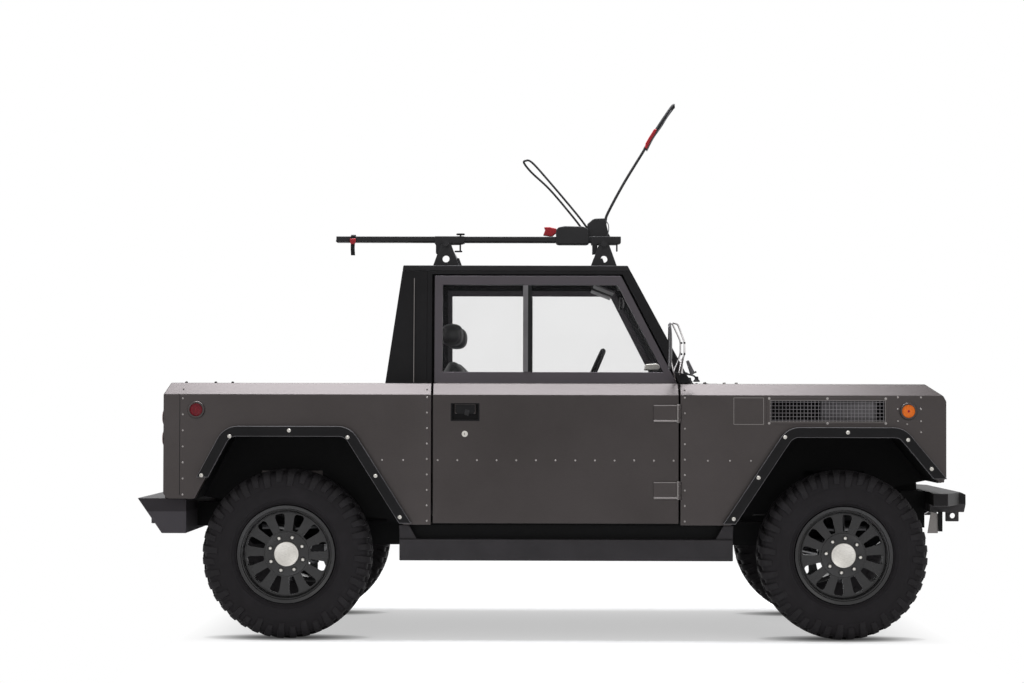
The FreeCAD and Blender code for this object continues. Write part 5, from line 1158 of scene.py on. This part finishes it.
def bent(points, steps, radius, sides):
    """A bent tube through points by the front bar."""
    return tube(smooth_line(by_bar(points), steps), radius, sides)


# The tray's section is an open trough with thick rounded lips, carried from end to end
trough = np.array([(-0.046, 0.026), (-0.046, 0.004), (-0.042, 0.000), (0.042, 0.000), (0.046, 0.004),
                   (0.046, 0.026), (0.043, 0.028), (0.038, 0.028), (0.034, 0.024), (0.030, 0.010),
                   (0.024, 0.006), (-0.024, 0.006), (-0.030, 0.010), (-0.034, 0.024), (-0.038, 0.028),
                   (-0.043, 0.028)])
ends = np.array([carrier_back + 0.002, carrier_back + 0.004, front_bar + 0.066, front_bar + 0.068])
shrink = np.array([0.97, 1.0, 1.0, 0.97])[:, None]
tray = grid(np.stack([np.broadcast_to(ends[:, None], (4, len(trough))), TRAY_Y + shrink * trough[:, 0],
                      tray_base + 0.014 + shrink * (trough[:, 1] - 0.014)], -1), close_v=True, caps=("u",))
end_cap = brick((carrier_back, TRAY_Y - 0.043, tray_base + 0.002),
                (carrier_back + 0.03, TRAY_Y + 0.043, tray_base + 0.010))
JAW = ((-0.060, -0.009), (-0.060, 0.029), (0.086, 0.029), (0.086, -0.003), (0.064, -0.009),
       (-0.029, -0.010), (-0.029, -0.054), (-0.054, -0.056), (-0.054, -0.010))
clamps = []
for bar in (rear_bar, front_bar):
    jaw = plate([(bar + x, tray_base + z) for x, z in JAW], TRAY_Y - 0.056, TRAY_Y + 0.056)
    rod = [(bar + 0.066, TRAY_Y - 0.050, level) for level in (tray_base - 0.046, tray_base)]
    clamps.append(jaw + tube(rod, 0.004, 8))
lever = brick((rear_bar + 0.038, TRAY_Y - 0.056, tray_base - 0.050),
              (rear_bar + 0.076, TRAY_Y - 0.040, tray_base - 0.042))
knob = lathe([(0.0, 0.0), (0.004, 0.0), (0.004, 0.006), (0.019, 0.007), (0.021, 0.009), (0.021, 0.013),
              (0.018, 0.015), (0.0, 0.016)], 24)
build("carrier_tray", tray + end_cap, "tube_coat", slot="frame_black", smooth=30.0,
      replaces=("cycle_carrier",))
build("carrier_clamps", clamps[0] + clamps[1] + lever, "tube_coat", slot="frame_black", bevel=0.003)
build("carrier_knob", knob.copies(spots([(rear_bar + 0.067, TRAY_Y - 0.040, tray_top)]) @ UPRIGHT),
      "cabin_trim", slot="frame_black")
nodes["roof_crossbars"].data.materials[0] = finishes["tube_coat"]
print("carrier tray", round(float(ends[-1] - ends[0]), 3))

# %% Cycle carrier's arms
housing = block_by_bar([(-0.233, 0.024), (-0.233, 0.058), (-0.222, 0.074), (-0.190, 0.080), (-0.098, 0.078),
                        (-0.074, 0.066), (-0.070, -0.006), (-0.084, -0.010), (-0.222, -0.010),
                        (-0.233, -0.004)], 0.054)
post = block_by_bar([(-0.079, 0.030), (-0.079, 0.092), (-0.052, 0.115), (-0.040, 0.119), (0.008, 0.121),
                     (0.018, 0.080), (0.026, 0.046), (0.040, 0.020), (0.040, 0.006), (-0.040, 0.006)],
                    0.026)
nose_piece = block_by_bar([(0.030, 0.024), (0.072, 0.010), (0.080, 0.000), (0.072, -0.008),
                           (0.020, -0.010)], 0.020)
long_arm = bent([(0.010, 0.090), (0.012, 0.112), (0.024, 0.150), (0.100, 0.292), (0.195, 0.448),
                 (0.268, 0.570), (0.306, 0.626), (0.342, 0.672)], 6, 0.0068, 12)
grip = bent([(0.205, 0.462), (0.262, 0.556), (0.306, 0.622), (0.342, 0.672), (0.352, 0.676)], 5,
            np.linspace(0.0095, 0.0115, 21), 12)
cradle = bent([(-0.060, -0.012, 0.040), (-0.079, -0.012, 0.072), (-0.130, -0.012, 0.140),
               (-0.265, -0.012, 0.300), (-0.352, -0.012, 0.396), (-0.384, -0.010, 0.404),
               (-0.390, -0.004, 0.392), (-0.352, 0.006, 0.346), (-0.262, 0.010, 0.262),
               (-0.150, 0.010, 0.130), (-0.088, 0.006, 0.050), (-0.066, 0.0, 0.034)], 6, 0.0052, 10)
wire = bent([(0.213, -0.012, 0.452), (0.246, -0.016, 0.516), (0.290, -0.016, 0.580), (0.330, -0.010, 0.648),
             (0.345, 0.0, 0.668)], 5, 0.0028, 8)
stay = bent([(0.012, -0.028, 0.108), (0.024, -0.030, 0.090), (0.026, -0.030, 0.060),
             (0.016, -0.029, 0.024)], 5, 0.0022, 8)
build("carrier_housing", housing + post + nose_piece, "tube_coat", slot="frame_black", bevel=0.005)
build("carrier_arms", long_arm + grip + cradle, "tube_coat", slot="frame_black", smooth=40.0)
build("carrier_wires", wire + stay, "running_steel", slot="frame_black", smooth=40.0)
print("long arm reaches up to", round(float(long_arm.points[:, 2].max()), 3))

# %% Cycle carrier's red parts and strap
strap_x = carrier_back + 0.084
red_lever = block_by_bar([(-0.296, 0.036), (-0.286, 0.062), (-0.292, 0.076), (-0.266, 0.077),
                          (-0.230, 0.069), (-0.230, 0.048), (-0.252, 0.030)], 0.022)
catch = block_by_bar([(0.214, 0.462), (0.236, 0.508), (0.252, 0.532), (0.264, 0.560), (0.250, 0.562),
                      (0.224, 0.520), (0.208, 0.492), (0.204, 0.470)], 0.014)
BUCKLE = ((-0.014, -0.004), (-0.014, 0.016), (0.014, 0.016), (0.014, -0.002), (0.008, -0.012),
          (-0.008, -0.012))
buckle = plate([(strap_x + x, tray_base + z) for x, z in BUCKLE], TRAY_Y - 0.058, TRAY_Y - 0.047)
build("carrier_red_parts", red_lever + catch + buckle, "red_plastic", slot="lamp_red", bevel=0.003)
# The strap is a flat band: a tail that hangs beside the tray, and a bow that goes over it
BAND = np.array([(-0.010, -0.0022), (0.010, -0.0022), (0.010, 0.0022), (-0.010, 0.0022)])
TAIL = ((0.0, -0.049, 0.030), (0.0, -0.0485, 0.0), (-0.001, -0.052, -0.030), (0.001, -0.051, -0.066))
BOW = ((-0.049, 0.020), (-0.047, 0.032), (-0.030, 0.036), (0.0, 0.038), (0.030, 0.036), (0.047, 0.031),
       (0.049, 0.012))
tail = smooth_line([(strap_x + x, TRAY_Y + y, tray_base + z) for x, y, z in TAIL], 8)
bow = smooth_line([(strap_x, TRAY_Y + y, tray_base + z) for y, z in BOW], 6)
hanging = grid(tail[:, None] + np.stack([BAND[:, 0], BAND[:, 1], 0 * BAND[:, 0]], -1)[None], close_v=True,
               caps=("u",))
normal = np.gradient(bow, axis=0)[:, ::-1] * (0, -1, 1)
normal /= np.linalg.norm(normal, axis=1, keepdims=True)
over = grid(np.stack([bow + (shift > 0) * shift * normal + (side, 0, 0) for side, shift in BAND], 1),
            close_v=True, caps=("u",))
build("carrier_strap", hanging + over, "cabin_trim", slot="frame_black", smooth=50.0)
print("strap's tail", round(float(tail[0, 2] - tail[-1, 2]), 3))

# %% [markdown]
# ## Seats
# A seat is three stuffed covers: a cushion, a leaning back and a round headrest. Each starts as a
# rounded block that is a little too small. It is remeshed evenly and then swollen by Blender's cloth
# simulation, under pressure and without gravity, so it crowns the way a filled cover does. The sewn
# channels are pressed in afterwards. The left seat has the same covers, mirrored, so that they are
# swollen only once.


# %% Stuffed covers
def rounded_block(half_size, power=4.5):
    """A superellipsoid: each coordinate is a signed power of the sphere's."""
    lift = np.linspace(-math.pi / 2, math.pi / 2, 25)[:, None]
    turn = (np.arange(56) / 56 * 2 * math.pi)[None]

    def bent(value):
        return np.sign(value) * np.abs(value) ** (2 / power)

    x = bent(np.cos(lift)) * bent(np.cos(turn))
    y = bent(np.cos(lift)) * bent(np.sin(turn))
    z = bent(np.sin(lift)) * np.ones_like(turn)
    return grid(np.stack([x, y, z], -1) * half_size, close_v=True, caps=("u",))


def evaluated_mesh(piece):
    """The mesh that a piece's modifiers make."""
    return bpy.data.meshes.new_from_object(piece.evaluated_get(bpy.context.evaluated_depsgraph_get()))


def coordinates(mesh):
    flat = np.empty(len(mesh.vertices) * 3, np.float32)
    mesh.vertices.foreach_get("co", flat)
    return flat.reshape(-1, 3).astype(float)


def put_back(mesh, points):
    mesh.vertices.foreach_set("co", points.astype(np.float32).ravel())
    mesh.update()


# %% Swelling
def stuffed(shape, cell, pressure, most):
    """The points and faces of a closed shape after it is remeshed, swollen and subdivided once. No
    point moves further than most."""
    start = build("stuffing", shape, "seat_cover")
    even = start.modifiers.new("even", "REMESH")
    even.mode, even.voxel_size = "VOXEL", cell
    cover = bpy.data.objects.new("cover", evaluated_mesh(start))
    bpy.context.scene.collection.objects.link(cover)
    rest = coordinates(cover.data)
    cloth = cover.modifiers.new("filling", "CLOTH")
    cloth.settings.use_pressure = True
    cloth.settings.uniform_pressure_force = pressure
    cloth.settings.effector_weights.gravity = 0.0
    cloth.settings.quality = 4
    for frame in range(1, 21):
        bpy.context.scene.frame_set(frame)
    swollen = evaluated_mesh(cover)
    moved = coordinates(swollen) - rest
    bpy.context.scene.frame_set(1)
    cover.modifiers.remove(cloth)
    far = np.linalg.norm(moved, axis=1, keepdims=True)
    put_back(cover.data, rest + moved * np.minimum(1.0, most / np.maximum(far, 1e-9)))
    fine = cover.modifiers.new("fine", "SUBSURF")
    fine.levels = fine.render_levels = 1
    mesh = evaluated_mesh(cover)
    for piece in (start, cover):
        bpy.data.objects.remove(piece)
    return mesh


# %% Sewn channels
def pressed(points, along, places, width, depth, above):
    """Press sewn channels into the points: a bell-shaped dip of the given depth at each place along
    one axis. above says over which side: its axis, where the dip starts, how far it takes to grow to
    its full depth, and the side's sign."""
    share = sum(np.exp(-((points[:, along] - line) / width) ** 2) for line in places)
    axis, level, reach, sign = above
    weight = np.clip((points[:, axis] - level) * sign / reach, 0, 1)
    pressed_points = points.copy()
    pressed_points[:, axis] -= sign * depth * share * weight
    return pressed_points


print("cover helpers ready")


# %% Seats
seat_low, seat_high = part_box("seat_right")
seat_rear = seat_high.x - 0.520
seat_base = seat_low.z
back_top = seat_high.z - 0.066 - 0.090
seat_mid = (seat_low.y + seat_high.y) / 2
half_seat = (seat_high.y - seat_low.y) / 2
back_foot = np.array([seat_rear - 0.002, seat_base + 0.030])
back_head = np.array([seat_rear - 0.092, back_top - 0.004])
CELL, PRESSURE, MOST, CHANNEL, DEEP_SEAM = 0.011, 4.0, 0.022, 0.010, 0.011
seat_lean = math.atan2(back_foot[0] - back_head[0], back_head[1] - back_foot[1])
back_length = float(np.hypot(*(back_head - back_foot)))


def leaned(points):
    """Turn a cushion that stands upright at its foot back by the lean of the seat."""
    x, z = points[:, 0], points[:, 2]
    c, s = math.cos(seat_lean), math.sin(seat_lean)
    return np.stack([back_foot[0] + x * c - z * s, seat_mid + points[:, 1],
                     back_foot[1] + x * s + z * c], -1)


def shaped_cushion():
    mesh = stuffed(rounded_block((0.222, half_seat - 0.022, 0.058)), CELL, PRESSURE, MOST)
    points = pressed(coordinates(mesh), 0, (-0.115, 0.0, 0.115), CHANNEL, DEEP_SEAM, (2, 0.02, 0.03, 1))
    points = pressed(points, 1, (-half_seat + 0.065, half_seat - 0.065), 0.011, 0.012, (2, 0.02, 0.03, 1))
    points[:, 2] = np.maximum(points[:, 2], -0.072)
    put_back(mesh, points + (seat_rear + 0.262, seat_mid, seat_base + 0.073))
    return mesh


def shaped_back():
    half = back_length / 2
    mesh = stuffed(rounded_block((0.034, half_seat - 0.024, half - 0.018)), CELL, PRESSURE, MOST)
    points = pressed(coordinates(mesh), 2, (-0.12, -0.01, 0.10), CHANNEL, DEEP_SEAM, (0, 0.0, 0.02, 1))
    points = pressed(points, 1, (-half_seat + 0.065, half_seat - 0.065), 0.011, 0.012, (0, 0.0, 0.02, 1))
    put_back(mesh, leaned(points + (0.0, 0.0, half)))
    return mesh


def shaped_headrest():
    mesh = stuffed(rounded_block((0.056, 0.122, 0.056), 2.6), 0.008, PRESSURE, 0.010)
    points = pressed(coordinates(mesh), 1, (-0.088, 0.088), 0.006, 0.005, (0, -0.2, 0.01, 1))
    put_back(mesh, points + (seat_rear - 0.088, seat_mid, back_top + 0.090))
    return mesh


covers = {"cushion": shaped_cushion(), "back": shaped_back(), "headrest": shaped_headrest()}
for name, mesh in covers.items():
    for flank, sign in (("right", 1.0), ("left", -1.0)):
        copy = mesh.copy()
        put_back(copy, coordinates(copy) * (1.0, sign, 1.0))
        stands_for = (f"seat_{flank}",) if name == "cushion" else ()
        piece = settle(f"seat_{flank}_{name}", copy, "seat_cover", "body", 0.0, 80.0, stands_for)
print("seat covers", {name: len(mesh.polygons) for name, mesh in covers.items()})

# %% [markdown]
# ## Door seals and pillar trim
# A black rubber seal runs round each door opening and closes the gap between the door's frame and the
# pillar behind it, as seen through the glass. Its line follows the gap: up the rear post, along the
# roof rail and down the leaning front pillar. It lies in the plane of the window, which leans in.

# %% Door seals
pillar_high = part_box("cab_pillars")[1]
glass_low, glass_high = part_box("door_glass_right")
lean_in = (glass_high.y - glass_low.y - 0.004) / (glass_high.z - glass_low.z)
seal_back, seal_top = door_low.x - 0.004, door_high.z + 0.003
seal_line = [(seal_back, cowl + 0.006), (seal_back, seal_top), (door_high.x - 0.264, seal_top),
             (door_high.x + 0.004, cowl + 0.006)]


def leaning_band(line, wide, depth, thick):
    """A flat band along a line in X and Z: the line moved to both sides by half its width, with mitred
    corners, at a depth behind the window's plane, and as thick as given."""
    line = np.asarray(line, float)
    ahead = np.diff(line, axis=0)
    ahead /= np.linalg.norm(ahead, axis=1, keepdims=True)
    normal = np.stack([-ahead[:, 1], ahead[:, 0]], -1)
    first, last = np.vstack([normal[:1], normal]), np.vstack([normal, normal[-1:]])
    mitre = (first + last) / (1 + np.sum(first * last, axis=1, keepdims=True))
    left, right = line + mitre * wide / 2, line - mitre * wide / 2
    rings = []
    for edge, level in ((left, depth), (right, depth), (right, depth + thick), (left, depth + thick)):
        y = glass_low.y + lean_in * (edge[:, 1] - glass_low.z) + level
        rings.append(np.stack([edge[:, 0], y, edge[:, 1]], -1))
    return grid(np.stack(rings), close_u=True, caps=("v",))


both("door_seal", leaning_band(seal_line, 0.040, 0.030, 0.010), "cabin_trim", slot="cabin_trim",
     smooth=30.0)
print("seal leans", round(lean_in, 4))

# %% [markdown]
# ## Nose grille and headlamps
# The nose has a wide opening with a fine mesh behind it, held in a folded frame with small screws.
# Each round headlamp has a turned bezel, a domed ribbed lens and a bright bowl behind it. The grille is
# the side grille's shapes again; grille and lamps are turned to face forward by one matrix.

# %% Nose
nose_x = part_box("front_panel")[1].x
lamp_low, lamp_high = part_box("headlamps")
lamp_y, lamp_z = lamp_high.y - 0.092, (lamp_low.z + lamp_high.z) / 2
nose_half = lamp_y - 0.092 - 0.078
nose_opening = (-nose_half, lamp_z - 0.130, nose_half, lamp_z + 0.120)
nose_mesh = wire_mesh(nose_opening, 0.024, 0.026, 0.0026).copies([FACE_FORWARD])
x0, z0, x1, z1 = nose_opening
nose_frame = frame_plate(widened(nose_opening, 0.014), nose_opening, -0.0030, 0.0200)
nose_screws = screw.copies(spots([(x, -0.0028, z) for x in np.linspace(x0 + 0.02, x1 - 0.02, 7)
                                  for z in (z0 - 0.007, z1 + 0.007)]))
ahead_of_nose = spots([(nose_x, 0.0, 0.0)])
build("nose_grille_mesh", nose_mesh.copies(ahead_of_nose), "mesh_wire", slot="frame_black", smooth=60.0)
build("nose_grille_frame", nose_frame.copies(ahead_of_nose @ FACE_FORWARD), "body_paint", bevel=0.0008)
build("nose_grille_screws", nose_screws.copies(ahead_of_nose @ FACE_FORWARD), "rivet_paint",
      slot="body_paint", smooth=50.0)
LAMP_RADIUS = 0.0880
bezel = lathe([(0.0925, 0.0020), (0.1080, 0.0015), (0.1090, -0.0020), (0.1050, -0.0075), (0.0960, -0.0100),
               (0.0900, -0.0090), (LAMP_RADIUS, -0.0050), (LAMP_RADIUS, 0.0040)], 72)
bulge = np.linspace(1.0, 0.0, 22)
# A parabola with a fine ripple, which stands for the lens's rings
ripple = -0.0100 - 0.0090 * (1 - bulge**2) - 0.0004 * np.sin(bulge * 60)
clear_lens = lathe(np.vstack([[LAMP_RADIUS, 0.004], np.stack([LAMP_RADIUS * bulge, ripple], -1)]), 72)
bowl = lathe(np.stack([0.0860 * bulge, -0.0020 + 0.0035 * (1 - bulge**2)], -1), 64)
bulb = lathe([(0.0200, -0.0010), (0.0200, -0.0060), (0.0150, -0.0085), (0.0, -0.0090)], 32)
lamp_places = spots([(nose_x, side_y, lamp_z) for side_y in (-lamp_y, lamp_y)])
for name, shape, finish, slot in (("bezels", bezel, "black_trim", "black_trim"),
                                  ("bowls", bowl, "bare_alloy", "lamp_clear"),
                                  ("bulbs", bulb, "silvered_glass", "lamp_clear"),
                                  ("lenses", clear_lens, "lamp_clear", "lamp_clear")):
    build(f"headlamp_{name}", shape.copies(lamp_places @ FACE_FORWARD), finish, slot=slot, smooth=40.0)
print("headlamps at", round(lamp_y, 3), round(lamp_z, 3))

# %% [markdown]
# ## Tail lamps, seams and small fixings
# The tail has two small round lamps above each other on each corner post. Around the body run the
# small things that give it its scale: the seam of the rear corner, the bed rail's hooks, the hood's
# screws, the plates under the front bumper, and the wipers.

# %% Tail lamps
tail_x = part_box("side_panel_right")[0].x
post_y = -body_side - 0.0350
flatter = np.diag([1.0, 0.45, 1.0, 1.0])
tail_radius = LENS_RADIUS - 0.004
tail_ring = lamp_ring(origin, tail_radius).copies([flatter])
tail_lens = ribbed_lens(origin, tail_radius)
tail_places = spots([(tail_x, side_y, level) for side_y in (-post_y, post_y)
                     for level in (waist - 0.110, waist - 0.210)])
build("tail_lamp_rings", tail_ring.copies(tail_places @ FACE_BACK), "body_paint", smooth=35.0)
build("tail_lamp_lenses", tail_lens.copies(tail_places @ FACE_BACK), "lamp_red", smooth=60.0)
print("tail lamps at", round(tail_x, 3), round(post_y, 3))

# %% Seams, hooks and screws
seam_x = middle - 1.8402
seam = brick((seam_x - 0.0012, body_side - 0.0010, 0.6900),
             (seam_x + 0.0012, body_side + 0.0005, waist - 0.003))
both("corner_seam", seam, "cabin_trim", slot="body_paint")
rail_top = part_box("side_panel_right")[1].z - 0.0005
hook = plate([(-0.007, 0.0), (0.007, 0.0), (0.006, 0.004), (0.003, 0.007), (-0.003, 0.007),
              (-0.006, 0.004)], -0.006, 0.006)
hook_places = [(middle + place, body_side + 0.075, rail_top) for place in (-1.818, -1.677, -1.596)]
hooks = hook.copies(spots(hook_places))
both("rail_hooks", hooks, "black_trim", bevel=0.001)
cap_screw = lathe([(0.0075, -0.002), (0.0075, 0.0040), (0.0055, 0.0068), (0.0, 0.0072)], 14)
cap_screws = cap_screw.copies([UPRIGHT]).copies(spots([(middle + place, -0.870, cowl)
                                                       for place in (0.7650, 0.8230)]))
both("hood_screws", cap_screws, "worn_paint_and_painted_highlight", body="hood", slot="body_paint", smooth=40.0)
print("corner seam at", round(seam_x, 3))

# %% Bumper hangers
# Under the front bumper, on each side, hangs a gusset in a light finish with a short black tab ahead of
# it: the light is a painted lit face and the tab's black is painted shade, for a lit and a shaded bracket
gusset = plate([(middle + x, z) for x, z in ((1.7925, 0.6060), (1.8445, 0.5920), (1.8265, 0.5010),
                                             (1.7765, 0.5010))], -0.606, -0.600)
tab = plate([(middle + x, z) for x, z in ((1.8255, 0.6060), (1.8480, 0.6060), (1.8480, 0.5100),
                                          (1.8280, 0.5100))], -0.620, -0.614)
both("bumper_gusset_painted_lit", gusset, "worn_paint_and_painted_highlight", slot="bumper_coat", bevel=0.001)
both("bumper_tab_painted_shade", tab, "black_trim", slot="bumper_coat", bevel=0.001)
print("hangers from", round(middle + 1.7765, 3))

# %% Wipers
def by_pivot(pivot, *steps):
    """A smooth line through places measured from a wiper's pivot."""
    return smooth_line([pivot + step for step in steps], 8)


cowl_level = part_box("cowl_firewall")[1].z
wiper_arms = []
for side_y in (-0.50, 0.16):
    pivot = np.array([pillar_high.x + 0.040, side_y, cowl_level + 0.004])
    arm = by_pivot(pivot, (0.0, 0.0, 0.010), (-0.010, 0.06, 0.026), (-0.026, 0.30, 0.036),
                   (-0.030, 0.42, 0.038))
    blade = by_pivot(pivot, (-0.030, 0.14, 0.034), (-0.034, 0.34, 0.044), (-0.034, 0.58, 0.040))
    spindle = lathe([(0.016, 0.0), (0.016, 0.006), (0.010, 0.012), (0.008, 0.026), (0.0, 0.027)], 20)
    wiper_arms.append(tube(arm, 0.0045, 8, up=(0, 0, 1)) + tube(blade, 0.0040, 8, up=(0, 0, 1))
                      + spindle.copies(spots([pivot - (0, 0, 0.004)]) @ UPRIGHT))
build("wipers", wiper_arms[0] + wiper_arms[1], "black_trim", smooth=40.0)
print("wipers", len(wiper_arms))

# %% [markdown]
# ## Inside the cab
# Through the glass one sees a folded sun visor, the inner mirror on its stem, and a small bright device
# on the dashboard. The window divider shows a light channel beside a black one, and a light seam runs
# up the cab's rear quarter.

# %% Cab details
inner_mirror = backed(pillow(0.200, 0.062, 0.016, 4.0), (0.338, 0.0, 1.640), step=(-0.006, 0, 0))
stem = tube(smooth_line([(0.350, 0.0, 1.645), (0.372, 0.0, 1.668), (0.384, 0.0, 1.700)], 5), 0.006, 10)
build("inner_mirror", inner_mirror + stem, "cabin_trim", smooth=40.0)
visor = plate([(0.190, 1.716), (0.292, 1.676), (0.296, 1.683), (0.194, 1.724)], 0.12, 0.50)
build("sun_visors", visor + visor.mirrored(), "duct_grey", slot="cabin_trim", bevel=0.003)
dash_low, dash_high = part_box("dashboard")
device = plate([(-0.035, 0.0), (0.035, 0.0), (0.045, 0.020), (0.028, 0.034), (-0.030, 0.030)],
               -0.045, 0.045)
DEVICE_X, DEVICE_Y, DEVICE_LEVEL = 0.4775, -0.40, 1.296
stalk = tube([(DEVICE_X, DEVICE_Y, level) for level in (dash_high.z - 0.004, DEVICE_LEVEL + 0.006)],
             0.009, 14)
build("dash_device", device.copies(spots([(DEVICE_X, DEVICE_Y, DEVICE_LEVEL)])), "bright_steel",
      slot="cabin_trim", bevel=0.004)
build("dash_stalk", stalk, "cabin_trim", smooth=40.0)
vents = frame_plate((-0.055, -0.030, 0.055, 0.030), (-0.047, -0.023, 0.047, 0.023), -0.004, 0.004)
slat = brick((-0.047, -0.003, -0.0015), (0.047, 0.001, 0.0015))
vents = vents + slat.copies(spots([(0, 0, level) for level in (-0.014, -0.005, 0.005, 0.014)]))
vent_places = spots([(dash_low.x - 0.001, side_y, dash_high.z - 0.075)
                     for side_y in (-0.62, -0.10, 0.10, 0.62)])
build("dash_vents", vents.copies(vent_places @ FACE_BACK), "tube_coat", slot="cabin_trim", smooth=30.0)
screen = brick((-0.085, -0.006, -0.055), (0.085, 0.002, 0.055))
build("dash_screen", screen.copies(spots([(dash_low.x - 0.001, 0.0, dash_high.z - 0.190)]) @ FACE_BACK),
      "frame_black", slot="cabin_trim", bevel=0.004)
split = middle - 0.1790
for name, shift, wide, finish in (("light", -0.0115, 0.024, "duct_grey"),
                                  ("dark", 0.0095, 0.018, "cabin_trim")):
    line = [(split + shift, glass_low.z + 0.002), (split + shift, glass_high.z - 0.002)]
    both(f"divider_{name}", leaning_band(line, wide, -0.0225, 0.008), finish, body="door",
         slot="cabin_trim", smooth=30.0)
seam_line = [(middle - 0.7300, cowl + 0.004), (middle - 0.7300, pillar_high.z - 0.036)]
both("quarter_seam", leaning_band(seam_line, 0.003, -0.0255, 0.006), "worn_paint_and_painted_highlight", slot="black_trim",
     smooth=30.0)
print("cab details at", round(split, 3), "glass", round(glass_low.y, 4))

# %% [markdown]
# ## Studio
# A white world for the camera and for reflections, a long soft box overhead, which the shoulders
# mirror, and weak fills. The floor glows faintly to the camera only, so it is white in the open and
# keeps the soft shadow under the vehicle. Where the tyres stand it carries a painted shadow, and
# beyond the outer tyres the shadow is painted out white.


# %% Lights and world
def soft_box(name, place_at, aim_at, wide, high, radiance, colour=(1.0, 1.0, 1.0)):
    """An area lamp. Its power is its radiance times its area times pi."""
    data = bpy.data.lights.new(name, "AREA")
    data.shape = "RECTANGLE"
    data.size, data.size_y = wide, high
    data.energy = radiance * wide * high * math.pi
    data.color = colour
    lamp = bpy.data.objects.new(name, data)
    bpy.context.scene.collection.objects.link(lamp)
    turn = (Vector(aim_at) - Vector(place_at)).to_track_quat("-Z", "Y")
    lamp.matrix_world = Matrix.Translation(place_at) @ turn.to_matrix().to_4x4()
    lamp.visible_camera = False
    return lamp


OVERHEAD = (-0.45, -0.2)
BODY = (0.0, 0.0, 0.8)
# Where it stands, what it lights, its width, height and radiance, and its colour
LAMPS = {
    "overhead": ((*OVERHEAD, 5.6), (*OVERHEAD, 0.0), 4.7, 2.6, 16.0, (0.95, 0.96, 1.0)),
    "rear_side": ((-4.4, -9.0, 1.7), (-1.5, -0.9, 0.9), 1.8, 2.2, 0.8),
    "front_side": ((4.4, -9.0, 1.7), (1.5, -0.9, 0.9), 1.8, 2.2, 0.6),
    "front_fill": ((4.5, -6.5, 3.2), BODY, 3.0, 3.0, 0.9),
    "rear_fill": ((-5.0, -6.0, 3.2), BODY, 3.0, 3.0, 0.8),
    "far_fill": ((0.0, 7.0, 3.4), BODY, 5.0, 3.0, 1.0),
}
for name, values in LAMPS.items():
    soft_box(name, *values)


def eye_rays(tree):
    """One for a ray that ends in the camera, straight, by a mirror or through glass, else zero."""
    rays = tree.nodes.new("ShaderNodeLightPath")
    straight, mirrored, through = (Wire(tree, rays.outputs[f"Is {kind} Ray"])
                                   for kind in ("Camera", "Glossy", "Transmission"))
    return straight.most(mirrored).most(through)


world = bpy.data.worlds.new("studio")
bpy.context.scene.world = world
world.use_nodes = True
air = world.node_tree
feed(air, air.nodes["Background"].inputs["Color"], (1.0, 1.0, 1.0, 1.0))
feed(air, air.nodes["Background"].inputs["Strength"], 0.38 + eye_rays(air) * 0.62)
print("lamps", list(LAMPS))

# %% Floor
floor_mesh = bpy.data.meshes.new("floor")
far_off = 60.0
floor_mesh.from_pydata([(-far_off, -far_off, 0), (far_off, -far_off, 0), (far_off, far_off, 0),
                        (-far_off, far_off, 0)], [], [(0, 1, 2, 3)])
floor = bpy.data.objects.new("floor", floor_mesh)
bpy.context.scene.collection.objects.link(floor)
FLOOR_GREY = (0.6, 0.6, 0.6)
ground = Finish("floor", FLOOR_GREY, 0.9, Specular_IOR_Level=0.0)
ground.feed("Emission Color", (1.0, 1.0, 1.0, 1.0))
open_eye = eye_rays(ground.tree)
from_centre = ground.node("ShaderNodeVectorMath", {"operation": "LENGTH"}, {0: ground.where}, output=1)
away = ground.between(from_centre, 3.0, 9.0)
# To the camera the floor is painted white beyond the outer tyres, which cuts the real shade off there,
# and a painted shadow darkens it where the four tyres stand
along, across = (ground.node("ShaderNodeSeparateXYZ", values={0: ground.where}, output=way)
                 for way in (0, 1))
from_middle = (along - middle).size()
painted_white_beyond = ground.between(from_middle, 1.35, 1.85) * open_eye
PAINTED_SHADOW_LONG, PAINTED_SHADOW_WIDE, TYRE_OUT = 0.42, 0.22, 0.80
from_axle = (from_middle - (front_axle - rear_axle) / 2).size() / PAINTED_SHADOW_LONG
from_tyre = (across.size() - TYRE_OUT).size() / PAINTED_SHADOW_WIDE
clear_of_painted_shadow = ground.between(from_axle * from_axle + from_tyre * from_tyre, 0.05, 1.0)
hidden = away.most(painted_white_beyond).most((1.0 - clear_of_painted_shadow) * open_eye)
ground.feed("Base Color", ground.blend(hidden, FLOOR_GREY, (0.0, 0.0, 0.0)))
# The emission drops to 0.12 of itself in the painted shadow where the tyres stand
ground.feed("Emission Strength", open_eye * (0.5 + away.most(painted_white_beyond) * 0.5) * (0.12 + clear_of_painted_shadow * 0.88))
floor_mesh.materials.append(ground.material)
bpy.context.scene.view_settings.view_transform = "Standard"
print("floor reaches", far_off, "m from the middle")
